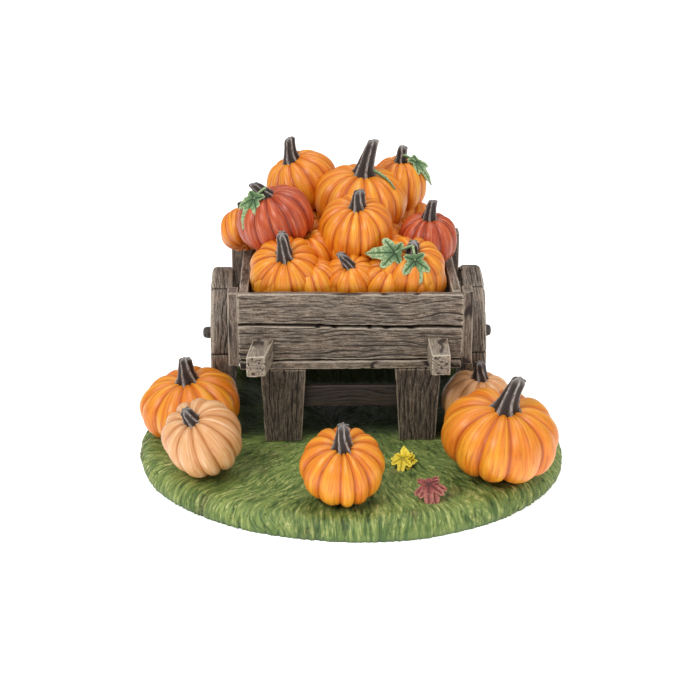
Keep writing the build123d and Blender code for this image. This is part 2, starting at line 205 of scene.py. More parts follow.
def ring_faces(ring_count: int, around: int, wrap: bool) -> list[tuple[int, ...]]:
    """Join neighbouring rings of points with four-sided faces.

    Args:
        ring_count: number of rings.
        around: points in each ring.
        wrap: whether the last ring joins the first.

    Returns:
        The faces.
    """
    ring = np.arange(ring_count if wrap else ring_count - 1)[:, None] * around
    upper = np.roll(np.arange(ring_count) * around, -1)[: len(ring)][:, None]
    here = np.arange(around)[None, :]
    there = (here + 1) % around
    quads = np.stack([ring + here, ring + there, upper + there, upper + here], axis=-1)
    return [tuple(quad) for quad in quads.reshape(-1, 4).tolist()]


def tube_shell(rings: Array, marks: dict[str, Array], flow: Array) -> Shell:
    """Close a stack of rings at both ends with a fan of triangles.

    Args:
        rings: positions, as (ring, point, xyz).
        marks: values as (ring, point).
        flow: stretched positions as (ring, point, xyz).

    Returns:
        The closed shell.
    """
    ring_count, around = rings.shape[:2]
    faces = ring_faces(ring_count, around, wrap=False)
    first = ring_count * around
    last = first + 1
    top = (ring_count - 1) * around
    for i in range(around):
        j = (i + 1) % around
        faces.append((first, j, i))
        faces.append((last, top + i, top + j))
    ends = np.stack([rings[0].mean(axis=0), rings[-1].mean(axis=0)])
    flow_ends = np.stack([flow[0].mean(axis=0), flow[-1].mean(axis=0)])
    return Shell(
        np.concatenate([rings.reshape(-1, 3), ends]),
        faces,
        {
            name: np.concatenate([mark.ravel(), [mark[0].mean(), mark[-1].mean()]])
            for name, mark in marks.items()
        },
        np.concatenate([flow.reshape(-1, 3), flow_ends]),
    )


def axis_frame(lean: tuple[float, float]) -> Array:
    """The three directions of something that leans.

    Args:
        lean: how far its axis leans in X and in Y for each unit of height.

    Returns:
        Rows for its own X, Y and Z directions.
    """
    up = Vector((lean[0], lean[1], 1.0)).normalized()
    across = Vector((1.0, 0.0, -lean[0])).normalized()
    return np.array([across, up.cross(across), up])


# --------------------------------------------------------------------------- paint


Operand = Union["Value", float]


class Value:
    """A number that flows between shader nodes and takes ordinary arithmetic."""

    def __init__(self, book: "PaintBook", socket: bpy.types.NodeSocket) -> None:
        """Wrap an output socket.

        Args:
            book: the paint book that the socket is in.
            socket: the output socket.
        """
        self.book = book
        self.socket = socket

    def _math(self, operation: str, first: Operand, second: Operand) -> "Value":
        """Add one Math node.

        Args:
            operation: the node's operation.
            first: its first number.
            second: its second number.

        Returns:
            The result.
        """
        made = self.book.node(
            "ShaderNodeMath", {"operation": operation}, {0: first, 1: second}
        )
        return Value(self.book, made.outputs[0])

    def __add__(self, other: Operand) -> "Value":
        """Add."""
        return self._math("ADD", self, other)

    __radd__ = __add__

    def __sub__(self, other: Operand) -> "Value":
        """Take away."""
        return self._math("SUBTRACT", self, other)

    def __rsub__(self, other: Operand) -> "Value":
        """Take this away from a number."""
        return self._math("SUBTRACT", other, self)

    def __mul__(self, other: Operand) -> "Value":
        """Multiply."""
        return self._math("MULTIPLY", self, other)

    __rmul__ = __mul__

    def __pow__(self, other: Operand) -> "Value":
        """Raise to a power."""
        return self._math("POWER", self, other)

    def step(self, low: float, high: float) -> "Value":
        """Rise smoothly from 0 at low to 1 at high.

        Args:
            low: where the rise starts.
            high: where it ends.

        Returns:
            The eased value.
        """
        made = self.book.node(
            "ShaderNodeMapRange",
            {"interpolation_type": "SMOOTHSTEP"},
            {"Value": self, "From Min": low, "From Max": high},
        )
        return Value(self.book, made.outputs[0])


class PaintBook:
    """The nodes of one material."""

    def __init__(self, name: str) -> None:
        """Start an empty material.

        Args:
            name: the material's name.
        """
        self.material = bpy.data.materials.new(name)
        self.material.use_nodes = True
        self.tree = self.material.node_tree
        self.tree.nodes.clear()

    def node(self, kind: str, settings: dict, inputs: dict) -> bpy.types.Node:
        """Add any node.

        Args:
            kind: the node's type.
            settings: its settings, set first.
            inputs: values or links of its sockets, by identifier, name or number.

        Returns:
            The node.
        """
        made = self.tree.nodes.new(kind)
        for key, value in settings.items():
            setattr(made, key, value)
        by_key = {socket.name: socket for socket in reversed(made.inputs)}
        by_key.update({socket.identifier: socket for socket in made.inputs})
        for key, value in inputs.items():
            socket = made.inputs[key] if isinstance(key, int) else by_key[key]
            if isinstance(value, Value):
                self.tree.links.new(value.socket, socket)
            elif isinstance(value, bpy.types.NodeSocket):
                self.tree.links.new(value, socket)
            else:
                socket.default_value = value
        return made

    def mark(self, name: str) -> Value:
        """Read a named value painted on the mesh."""
        made = self.node("ShaderNodeAttribute", {"attribute_name": name}, {})
        return Value(self, made.outputs["Fac"])

    def flow(self, stretch: tuple[float, float, float]) -> bpy.types.NodeSocket:
        """Read the flow positions, scaled along each direction.

        Args:
            stretch: scale along each of the three directions.

        Returns:
            A vector output.
        """
        source = self.node("ShaderNodeAttribute", {"attribute_name": "flow"}, {})
        scaled = self.node(
            "ShaderNodeVectorMath",
            {"operation": "MULTIPLY"},
            {0: source.outputs["Vector"], 1: stretch},
        )
        return scaled.outputs[0]

    def noise(
        self, stretch: tuple[float, float, float], detail: float = 3.0, rough: float = 0.55
    ) -> Value:
        """A cloudy pattern that follows the flow.

        Args:
            stretch: cells for each millimetre of flow along each direction.
            detail: octaves of the pattern.
            rough: strength of the finer octaves.

        Returns:
            The pattern, about 0 to 1.
        """
        made = self.node(
            "ShaderNodeTexNoise",
            {"noise_dimensions": "3D"},
            {
                "Vector": self.flow(stretch),
                "Scale": 1.0,
                "Detail": detail,
                "Roughness": rough,
            },
        )
        return Value(self, made.outputs[0])

    def mix(
        self,
        first: Union[Colour, bpy.types.NodeSocket],
        second: Union[Colour, bpy.types.NodeSocket],
        share: Value,
    ) -> bpy.types.NodeSocket:
        """Blend two colours.

        Args:
            first: the colour where share is 0.
            second: the colour where share is 1.
            share: how much of the second shows.

        Returns:
            The blended colour.
        """
        made = self.node(
            "ShaderNodeMix",
            {"data_type": "RGBA", "clamp_factor": True},
            {
                "Factor_Float": share,
                "A_Color": first if not isinstance(first, tuple) else (*first, 1.0),
                "B_Color": second if not isinstance(second, tuple) else (*second, 1.0),
            },
        )
        return made.outputs["Result_Color"] if "Result_Color" in made.outputs else made.outputs[2]

    def finish(
        self,
        colour: bpy.types.NodeSocket,
        roughness: Operand,
        relief: Value,
        relief_depth: float,
        coat: float,
    ) -> bpy.types.Material:
        """Bring colour, roughness and fine relief together.

        Args:
            colour: the base colour.
            roughness: how matt the surface is.
            relief: fine relief pattern.
            relief_depth: its depth in millimetres.
            coat: strength of the clear varnish.

        Returns:
            The finished material.
        """
        bump = self.node(
            "ShaderNodeBump",
            {},
            {"Strength": 1.0, "Distance": relief_depth * MM, "Height": relief},
        )
        shader = self.node(
            "ShaderNodeBsdfPrincipled",
            {},
            {
                "Base Color": colour,
                "Roughness": roughness,
                "Normal": bump.outputs[0],
                "Coat Weight": coat,
                "Coat Roughness": 0.3,
            },
        )
        self.node("ShaderNodeOutputMaterial", {}, {"Surface": shader.outputs[0]})
        return self.material


@dataclass(frozen=True)
class CarvedWood:
    """Resin carved like old boards: a dark wash in the grain, pale dry-brushed ridges.

    Args:
        name: the material's name.
        hollow: colour in the carved grain.
        body: colour of the flat wood.
        ridge: colour brushed over ridges and edges.
        brushed: how much of the ridge colour shows.
    """

    name: str
    hollow: Colour
    body: Colour
    ridge: Colour
    brushed: float

    def material(self) -> bpy.types.Material:
        """Make the material.

        Returns:
            The finished material.
        """
        book = PaintBook(self.name)
        carve = book.mark("carve")
        worn = book.mark("worn")
        fine = book.noise((0.35, 4.2, 4.2), 4.0, 0.62)
        cloud = book.noise((0.16, 0.32, 0.32), 3.0)
        speck = book.noise((1.6, 3.0, 3.0), 3.0, 0.7)
        warm = tuple(channel * scale for channel, scale in zip(self.body, (1.22, 1.0, 0.82)))
        wood = book.mix(self.body, warm, cloud.step(0.42, 0.68))
        brush = (fine.step(0.44, 0.62) * 0.75 + speck.step(0.5, 0.66) * 0.45) * self.brushed
        wood = book.mix(wood, self.ridge, brush * (0.35 + cloud * 0.9))
        wood = book.mix(wood, self.hollow, (1.0 - fine.step(0.28, 0.46)) * 0.7)
        wood = book.mix(wood, self.hollow, 1.0 - carve.step(0.15, 0.75))
        crumbs = book.noise((3.4, 5.5, 5.5), 2.0, 0.7)
        dry = crumbs.step(0.56, 0.68) * carve.step(0.4, 0.95) * cloud.step(0.36, 0.6)
        wood = book.mix(wood, self.ridge, dry * self.brushed)
        edge = worn.step(0.15, 0.75) * (0.45 + speck.step(0.36, 0.56) * 0.55) * carve.step(0.2, 0.8)
        wood = book.mix(wood, self.ridge, edge * min(1.0, self.brushed * 1.35))
        roughness = 0.62 + (1.0 - carve) * 0.2
        return book.finish(wood, roughness, fine * 0.7 + speck * 0.3, 0.09, 0.0)


@dataclass(frozen=True)
class PumpkinSkin:
    """Painted pumpkin skin: deep colour in the grooves, fine brush strokes down the lobes.

    Args:
        name: the material's name.
        groove: colour in the grooves and underneath.
        body: main colour.
        crest: colour along the tops of the lobes.
        stroke: colour of the pale fine strokes.
        stroke_strength: how strongly the strokes show.
    """

    name: str
    groove: Colour
    body: Colour
    crest: Colour
    stroke: Colour
    stroke_strength: float

    def material(self) -> bpy.types.Material:
        """Make the material.

        Returns:
            The finished material.
        """
        book = PaintBook(self.name)
        rib = book.mark("rib")
        rise = book.mark("rise")
        strokes = book.noise((1.9, 1.9, 0.16), 4.0, 0.6)
        broad = book.noise((0.55, 0.55, 0.08), 2.0)
        mottle = book.noise((0.5, 0.5, 0.5), 3.0)
        skin = book.mix(self.body, self.crest, broad.step(0.38, 0.66) * rib.step(0.2, 0.9))
        skin = book.mix(skin, self.groove, strokes.step(0.50, 0.68) * 0.62)
        pale = (1.0 - strokes.step(0.30, 0.46)) * rib.step(0.25, 0.8)
        skin = book.mix(skin, self.stroke, pale * self.stroke_strength)
        skin = book.mix(skin, self.groove, (1.0 - rib.step(0.0, 0.42)) * 0.9)
        low = (1.0 - rise.step(0.02, 0.34)) * (0.35 + mottle * 0.5)
        skin = book.mix(skin, self.groove, low)
        roughness = 0.34 + mottle * 0.16
        return book.finish(skin, roughness, strokes * 0.6 + mottle * 0.4, 0.13, 0.12)


@dataclass(frozen=True)
class RibbedSkin:
    """Painted stems and leaves: a dark body whose ribs and edges are touched in paler.

    Args:
        name: the material's name.
        hollow: colour between the ribs.
        body: main colour.
        crest: colour of the ribs or veins.
        touched: how much of the crest colour shows.
    """

    name: str
    hollow: Colour
    body: Colour
    crest: Colour
    touched: float

    def material(self) -> bpy.types.Material:
        """Make the material.

        Returns:
            The finished material.
        """
        book = PaintBook(self.name)
        rib = book.mark("rib")
        worn = book.mark("worn")
        fine = book.noise((2.6, 2.6, 1.1), 4.0, 0.65)
        cloud = book.noise((0.5, 0.5, 0.4), 3.0)
        skin = book.mix(self.hollow, self.body, rib.step(0.05, 0.6))
        lit = rib.step(0.55, 0.95) * fine.step(0.36, 0.6) * self.touched
        skin = book.mix(skin, self.crest, lit)
        skin = book.mix(skin, self.crest, worn * cloud.step(0.3, 0.65) * self.touched)
        return book.finish(skin, 0.5 + fine * 0.2, fine, 0.08, 0.05)


@dataclass(frozen=True)
class CombedGrass:
    """Painted grass: near-black green between the blades, yellow-green brushed on top.

    Args:
        name: the material's name.
        shadow: colour between the blades, also used for the painted shade under the cart.
        deep: darker blade colour.
        light: lighter blade colour.
        tip: yellow colour of the brushed tips.
        earth: brown that shows here and there.
    """

    name: str
    shadow: Colour
    deep: Colour
    light: Colour
    tip: Colour
    earth: Colour

    def material(self) -> bpy.types.Material:
        """Make the material.

        Returns:
            The finished material.
        """
        book = PaintBook(self.name)
        blade = book.mark("blade")
        shade = book.mark("shade")
        rise = book.mark("rise")
        fine = book.noise((1.7, 1.7, 0.20), 3.0, 0.6)
        cloud = book.noise((0.11, 0.11, 0.11), 2.0)
        mixed = shade * 0.45 + cloud.step(0.36, 0.64) * 0.3 + fine.step(0.40, 0.62) * 0.45
        grass = book.mix(self.deep, self.light, mixed)
        grass = book.mix(grass, self.earth, (1.0 - cloud.step(0.32, 0.44)) * 0.4)
        tip = blade.step(0.45, 0.95) * (shade.step(0.5, 1.0) * 0.4 + fine.step(0.50, 0.62) * 0.75)
        grass = book.mix(grass, self.tip, tip * 0.85)
        grass = book.mix(grass, self.deep, (1.0 - fine.step(0.34, 0.46)) * 0.8)
        grass = book.mix(grass, self.shadow, (1.0 - blade.step(0.0, 0.34)) * 0.85)
        grass = book.mix(grass, self.deep, (1.0 - rise.step(0.05, 0.5)) * 0.45)
        # painted shade: the grass under the cart is darkened towards the shadow colour
        grass = book.mix(grass, self.shadow, book.mark("shaded_under_cart") * (0.98 - blade * 0.16))
        return book.finish(grass, 0.55 + fine * 0.15, fine, 0.28, 0.05)


WEATHERED = CarvedWood(
    "weathered_wood", (0.016, 0.010, 0.007), (0.086, 0.062, 0.045), (0.46, 0.385, 0.305), 0.76
)
POST = CarvedWood(
    "brown_post_wood", (0.022, 0.014, 0.010), (0.078, 0.052, 0.038), (0.44, 0.36, 0.28), 0.60
)
DARK_LEG = CarvedWood(
    "dark_leg_wood", (0.007, 0.004, 0.003), (0.036, 0.024, 0.016), (0.34, 0.27, 0.20), 0.62
)
# painted shade: a near-black copy of the wood for the leg stretcher and floor planks, which sit in
# shade under and inside the cart
PAINTED_SHADE_WOOD = CarvedWood(
    "shaded_wood", (0.005, 0.003, 0.002), (0.020, 0.013, 0.009), (0.09, 0.065, 0.045), 0.40
)
PALE_HANDLE = CarvedWood(
    "pale_handle_wood", (0.060, 0.043, 0.032), (0.190, 0.150, 0.115), (0.56, 0.48, 0.38), 0.85
)
DARK_PEG = CarvedWood(
    "dark_peg", (0.012, 0.009, 0.007), (0.050, 0.040, 0.034), (0.22, 0.19, 0.16), 0.35
)
ORANGE = PumpkinSkin(
    "orange_skin",
    (0.44, 0.078, 0.004), (0.74, 0.195, 0.007), (0.84, 0.335, 0.016), (0.92, 0.50, 0.07), 0.50,
)
RED = PumpkinSkin(
    "red_orange_skin",
    (0.20, 0.020, 0.004), (0.42, 0.052, 0.010), (0.56, 0.100, 0.022), (0.74, 0.30, 0.13), 0.50,
)
PEACH = PumpkinSkin(
    "pale_peach_skin",
    (0.50, 0.165, 0.036), (0.68, 0.330, 0.125), (0.77, 0.440, 0.210), (0.88, 0.64, 0.42), 0.60,
)
STEM = RibbedSkin(
    "brown_stem", (0.018, 0.010, 0.007), (0.062, 0.038, 0.030), (0.44, 0.40, 0.37), 0.85
)
GREEN_LEAF = RibbedSkin(
    "green_leaf", (0.010, 0.032, 0.008), (0.085, 0.170, 0.060), (0.42, 0.52, 0.27), 1.0
)
YELLOW_LEAF = RibbedSkin(
    "yellow_leaf", (0.30, 0.26, 0.010), (0.84, 0.60, 0.012), (0.98, 0.84, 0.10), 0.9
)
RED_LEAF = RibbedSkin(
    "red_leaf", (0.060, 0.012, 0.008), (0.230, 0.035, 0.030), (0.52, 0.21, 0.15), 0.8
)
GRASS = CombedGrass(
    "combed_grass",
    (0.010, 0.026, 0.004), (0.052, 0.110, 0.018), (0.235, 0.310, 0.070),
    (0.60, 0.60, 0.24), (0.17, 0.11, 0.040),
)


Finish = Union[CarvedWood, PumpkinSkin, RibbedSkin, CombedGrass]


class Finishes:
    """The materials, each made once."""

    def __init__(self) -> None:
        """Start with none made."""
        self._made: dict[str, bpy.types.Material] = {}

    def get(self, finish: Finish) -> bpy.types.Material:
        """Give a finish's material, making it the first time.

        Args:
            finish: the paint.

        Returns:
            Its material.
        """
        if finish.name not in self._made:
            self._made[finish.name] = finish.material()
        return self._made[finish.name]


FINISHES = Finishes()


# ---------------------------------------------------------------------------- wood


class Along(Enum):
    """The direction that the grain of a piece of wood runs in."""

    X = 0
    Y = 1
    Z = 2


@dataclass(frozen=True)
class Grain:
    """The growth rings of a log, carved as long wavy grooves.

    Args:
        seed: picks the log.
        pitch: distance between grooves.
        width: half width of a groove.
        depth: depth of a groove.
    """

    seed: int
    pitch: float = 0.95
    width: float = 0.17
    depth: float = 0.20

    def carve(self, along: Array, across: Array, through: Array) -> Array:
        """How far the grain is carved in.

        Args:
            along: position along the grain, in millimetres.
            across: position across the wide face.
            through: position through the thickness.

        Returns:
            0 on the untouched wood to 1 at the bottom of a groove.
        """
        log = np.random.default_rng(self.seed)
        centre_across = log.uniform(9, 16) * log.choice([-1, 1])
        centre_through = log.uniform(-4, 4)
        relief = Noise(self.seed)
        reach = np.hypot(across - centre_across, through - centre_through)
        bend = relief.at(along / 11, across / 5, through / 5) * 1.1
        swirl = relief.at(along / 3.0 + 40, across / 1.5, through / 1.5) * 0.22
        ring = (reach + bend + swirl) / self.pitch
        nearest = np.round(ring)
        distance = np.abs(ring - nearest) * self.pitch
        line = np.exp(-((distance / self.width) ** 2))
        strength = relief.at(along / 6.5, nearest * 7.31, 3.7)
        return line * (0.35 + 0.65 * ease(strength * 1.1 + 0.6))

    def dent(self, along: Array, across: Array, through: Array) -> Array:
        """Slow unevenness of hand-carved wood, between 0 and 1."""
        relief = Noise(self.seed + 500)
        return 0.5 + 0.5 * relief.at(along / 8, across / 3.5, through / 3.5)


@dataclass(frozen=True)
class CarvedBlock:
    """A block of carved wood with softly rounded edges.

    Args:
        low: lowest corner in millimetres.
        high: highest corner.
        along: direction of the grain.
        seed: picks the grain.
        spacing: distance between the points of its surface.
        rounding: radius of its edges.
        unevenness: depth of its slow dents.
        grain_pitch: distance between the grooves of its grain.
        grain_depth: depth of those grooves.
        pitted: depth of the pits in its end grain.
        shape: moves its points into a tapered or bent shape.
    """

    low: Array
    high: Array
    along: Along
    seed: int
    spacing: float = 0.24
    rounding: float = 0.38
    unevenness: float = 0.12
    shape: Optional[Callable[[Array], Array]] = None
    grain_pitch: float = 0.95
    grain_depth: float = 0.22
    pitted: float = 0.0

    def _lattice(self) -> tuple[Array, list[tuple[int, ...]]]:
        """Points and faces of the block's surface grid.

        Returns:
            Whole-number grid positions with their counts, and the faces between them.
        """
        size = self.high - self.low
        counts = np.maximum(3, np.round(size / self.step()).astype(int))
        corners: list[Array] = []
        for fixed in range(3):
            first, second = [axis for axis in range(3) if axis != fixed]
            for end in (0, counts[fixed]):
                i, j = np.meshgrid(
                    np.arange(counts[first]), np.arange(counts[second]), indexing="ij"
                )
                quad = np.zeros((i.size, 4, 3), dtype=int)
                quad[:, :, fixed] = end
                for corner, (di, dj) in enumerate(((0, 0), (1, 0), (1, 1), (0, 1))):
                    quad[:, corner, first] = i.ravel() + di
                    quad[:, corner, second] = j.ravel() + dj
                outward = (end > 0) == (fixed != 1)
                corners.append(quad if outward else quad[:, ::-1])
        quads = np.concatenate(corners)
        unique, index = np.unique(quads.reshape(-1, 3), axis=0, return_inverse=True)
        faces = [tuple(face) for face in index.reshape(-1, 4).tolist()]
        return unique / counts, faces

    def step(self) -> Array:
        """Distance between points along each axis: longer along the grain.

        Returns:
            Three distances in millimetres.
        """
        step = np.full(3, self.spacing)
        step[self.along.value] *= 1.8
        return step

    def shell(self) -> Shell:
        """Carve the block.

        Returns:
            Its shell, with the marks carve and worn.
        """
        share, faces = self._lattice()
        half = (self.high - self.low) / 2
        middle = (self.high + self.low) / 2
        radius = min(self.rounding, float(half.min()) * 0.8)
        flat = (share * 2 - 1) * half
        inner = np.clip(flat, -(half - radius), half - radius)
        outward = flat - inner
        outward /= np.linalg.norm(outward, axis=1, keepdims=True)
        order = [self.along.value] + [axis for axis in range(3) if axis != self.along.value]
        if half[order[1]] < half[order[2]]:
            order[1], order[2] = order[2], order[1]
        grain = Grain(self.seed, pitch=self.grain_pitch, depth=self.grain_depth)
        local = flat[:, order]
        carve = grain.carve(local[:, 0], local[:, 1], local[:, 2])
        dent = grain.dent(local[:, 0], local[:, 1], local[:, 2])
        to_faces = np.sort(half - np.abs(flat), axis=1)
        to_end = (half - np.abs(flat))[:, self.along.value]
        worn = np.exp(-((to_faces[:, 1] / 0.42) ** 2))
        nick = np.clip(Noise(self.seed + 90).at(*(flat / 0.9).T) - 0.35, 0, 1) * worn
        sunk = grain.depth * carve + self.unevenness * dent + 0.35 * nick
        if self.pitted:
            ends = ease(1.5 - to_end / 0.3)
            pits = np.clip(Noise(self.seed + 60).at(*(flat / 0.42).T) * 2.2 - 0.35, 0, 1) * ends
            carve = np.maximum(carve * (1 - 0.6 * ends), pits)
            sunk = sunk + self.pitted * pits
        points = inner + outward * (radius - sunk)[:, None]
        if self.shape is not None:
            points = self.shape(points)
        return Shell(points + middle, faces, {"carve": 1 - carve, "worn": worn}, local + self.seed)


def millimetre_box(node: str) -> tuple[Array, Array]:
    """A node's lowest and highest corners in millimetres."""
    low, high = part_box(node)
    return np.array(low) / MM, np.array(high) / MM


@dataclass(frozen=True)
class Board:
    """One plank or post of the cart, carved in the space of its node.

    Args:
        node: name of the node it replaces.
        along: direction of its grain.
        finish: its paint.
        tuck: how far its ends are pushed into the wood beside them.
        grain_pitch: distance between the grooves of its grain.
        grain_depth: depth of those grooves.
    """

    node: str
    along: Along
    finish: CarvedWood = WEATHERED
    tuck: float = 0.0
    grain_pitch: float = 0.95
    grain_depth: float = 0.22

    def build(
        self, seed: int, shape: Optional[Callable[[Array], Array]] = None
    ) -> bpy.types.Object:
        """Carve the board and let it ride on the cart.

        Args:
            seed: picks the grain.
            shape: moves its points, if it isn't straight.

        Returns:
            The piece.
        """
        low, high = millimetre_box(self.node)
        low[self.along.value] -= self.tuck
        high[self.along.value] += self.tuck
        shell = CarvedBlock(
            low, high, self.along, seed, shape=shape,
            grain_pitch=self.grain_pitch, grain_depth=self.grain_depth,
        ).shell()
        return settle(shell, self.node, "cart", self.finish)


def settle(
    shell: Shell,
    node: str,
    body: str,
    finish: Finish,
    also: Sequence[str] = (),
) -> bpy.types.Object:
    """Make a piece that stands for a node.

    Args:
        shell: its surface.
        node: the node it replaces.
        body: the body it rides on.
        finish: its paint.
        also: further nodes that it replaces.

    Returns:
        The piece.
    """
    made = shell.piece(f"painted_{node}", FINISHES.get(finish))
    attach(made, body)
    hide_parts(node, *also)
    LOG.info("%s: %d points", made.name, len(shell.points))
    return made


@dataclass(frozen=True)
class Cart:
    """The cart's box, frame, legs and handles.

    Args:
        handle_root: width of a handle at the boards.
        handle_tip: width of its tip.
        left_splay: how far the left handle's tip stands out.
        leg_foot_share: width of a leg's foot, share of its top.
        plank_count: planks in the floor.
        plank_gap: seam between two of them.
        seam_slope: how far the seam between the front boards drops at its right end.
        seam_rebate: how far the upper board reaches down behind that seam.
        peg_reach: how far the axle's rounded pegs stand out past their nodes.
        wall_tuck: how far the ends of the boards are pushed into the posts.
        rail_tuck: how far the ends of the rails are.
    """

    handle_root: float = 4.8
    handle_tip: float = 4.3
    left_splay: float = 1.5
    leg_foot_share: float = 0.79
    plank_count: int = 5
    plank_gap: float = 0.25
    seam_slope: float = 0.5
    seam_rebate: float = 0.7
    peg_reach: float = 0.6
    wall_tuck: float = 0.3
    rail_tuck: float = 0.2

    def boards(self) -> list[Board]:
        """The straight pieces, with the direction of their grain.

        Returns:
            One board for each node.
        """
        levels, sides = ("lower", "upper"), ("left", "right")
        walls = [Board(f"rear_board_{level}", Along.X, tuck=self.wall_tuck) for level in levels]
        walls += [
            Board(f"{side}_board_{level}", Along.Y, tuck=self.wall_tuck)
            for side in sides
            for level in levels
        ]
        rails = [Board("front_sill", Along.X), Board("rear_sill", Along.X)]
        rails += [Board(f"{side}_rail", Along.Y, tuck=self.rail_tuck) for side in sides]
        posts = [
            Board(f"{end}_{side}_post", Along.Z, POST)
            for end in ("front", "rear")
            for side in sides
        ]
        # the leg stretcher takes the painted shade wood
        shaded_under_cart = [Board("leg_stretcher", Along.X, PAINTED_SHADE_WOOD), Board("axle_beam", Along.X, DARK_LEG)]
        return walls + rails + posts + shaded_under_cart

    def build(self) -> None:
        """Carve every wooden piece of the cart."""
        for index, board in enumerate(self.boards()):
            board.build(seed=11 + 7 * index)
        self.front_boards()
        self.floor()
        self.legs()
        self.handle("left_handle", -self.left_splay, 301)
        self.handle("right_handle", 0.0, 302)
        self.axle()

    def front_boards(self) -> None:
        """The two front boards, whose edges slope a little and wander."""
        for level, seed in (("lower", 5), ("upper", 8)):
            low, high = millimetre_box(f"front_board_{level}")
            width, height = high[0] - low[0], high[2] - low[2]
            upper = level == "upper"

            def slope(points: Array) -> Array:
                """Tip the seam down to the right and let the edges wander.

                Args:
                    points: positions from the board's middle.

                Returns:
                    The moved positions.
                """
                across = points[:, 0] / width * 2
                rise = points[:, 2] / height + 0.5
                wander = Noise(5).at(points[:, 0] / 9, points[:, 2] * 0, 0.4) * 0.16
                seam = -self.seam_slope * across + wander
                far = -0.25 * across + wander * 0.8 if upper else 0.5 * wander
                bottom, top = (seam, far) if upper else (far, seam)
                points[:, 2] += bottom * (1 - rise) + top * rise
                if upper:
                    behind = np.clip(1 - rise, 0, 1) ** 8 * ease(points[:, 1] + 0.3)
                    points[:, 2] -= self.seam_rebate * behind
                return points

            Board(f"front_board_{level}", Along.X, tuck=self.wall_tuck).build(seed, slope)

    def floor(self) -> None:
        """The planks of the floor, as one piece."""
        low, high = millimetre_box("floor_planks")
        pitch = (high[0] - low[0] + self.plank_gap) / self.plank_count
        planks = []
        for i in range(self.plank_count):
            plank_low = np.array([low[0] + i * pitch, low[1], low[2]])
            plank_high = np.array([low[0] + (i + 1) * pitch - self.plank_gap, high[1], high[2]])
            planks.append(CarvedBlock(plank_low, plank_high, Along.Y, 211 + i, spacing=0.4).shell())
        # the floor planks take the painted shade wood
        settle(Shell.joined(planks), "floor_planks", "cart", PAINTED_SHADE_WOOD)

    def legs(self) -> None:
        """The two tapered legs."""
        for seed, node in enumerate(("left_leg", "right_leg"), start=251):
            low, high = millimetre_box(node)
            height = high[2] - low[2]

            def taper(points: Array) -> Array:
                """Narrow the leg towards its foot.

                Args:
                    points: positions from the leg's middle.

                Returns:
                    The moved positions.
                """
                rise = points[:, 2] / height + 0.5
                points[:, 0] *= self.leg_foot_share + (1 - self.leg_foot_share) * rise
                return points

            leg = Board(node, Along.Z, DARK_LEG, grain_pitch=1.1, grain_depth=0.36)
            leg.build(seed, taper)

    def handle(self, node: str, splay: float, seed: int) -> None:
        """One stub handle.

        Args:
            node: its node.
            splay: how far its tip stands out sideways.
            seed: picks the grain.
        """
        low, high = millimetre_box(node)
        board_low, _ = millimetre_box("front_board_lower")
        root_middle = (high[0] if splay < 0 else low[0] + self.handle_root) - self.handle_root / 2
        embed = 0.4
        block_low = np.array([root_middle - self.handle_root / 2, low[1], low[2]])
        block_high = np.array([root_middle + self.handle_root / 2, board_low[1] + embed, high[2]])
        length = block_high[1] - block_low[1]

        def taper(points: Array) -> Array:
            """Narrow the handle and swing it out towards its tip.

            Args:
                points: positions from the handle's middle.

            Returns:
                The moved positions.
            """
            reach = 0.5 - points[:, 1] / length
            points[:, 0] *= 1 - (1 - self.handle_tip / self.handle_root) * reach
            points[:, 2] *= 1 - 0.09 * reach
            points[:, 0] += splay * reach
            return points

        block = CarvedBlock(
            block_low, block_high, Along.Y, seed, spacing=0.19, rounding=0.5, shape=taper,
            grain_pitch=0.72, grain_depth=0.34, pitted=0.30,
        )
        settle(block.shell(), node, "cart", PALE_HANDLE)

    def axle(self) -> None:
        """Paint the axle and shape its two rounded peg ends."""
        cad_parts["axle"].data.materials.clear()
        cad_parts["axle"].data.materials.append(FINISHES.get(DARK_PEG))
        low, high = millimetre_box("axle_caps")
        middle = (low + high) / 2
        radius = (high[2] - low[2]) / 2
        wheel_low, _ = millimetre_box("left_wheel_felloes")
        inner = wheel_low[0]
        pegs = []
        for side in (-1, 1):
            length = high[0] - abs(inner) + self.peg_reach
            turned = Turned(
                [(0.0, 0.86), (0.15, 0.98), (0.55, 1.0), (0.85, 0.86), (0.97, 0.55), (1.0, 0.2)],
                length, radius, 405 + side,
            )
            start = np.array([side * (abs(inner) + 0.05), middle[1], middle[2]])
            pegs.append(turned.shell(start, side))
        settle(Shell.joined(pegs), "axle_caps", "cart", DARK_PEG)


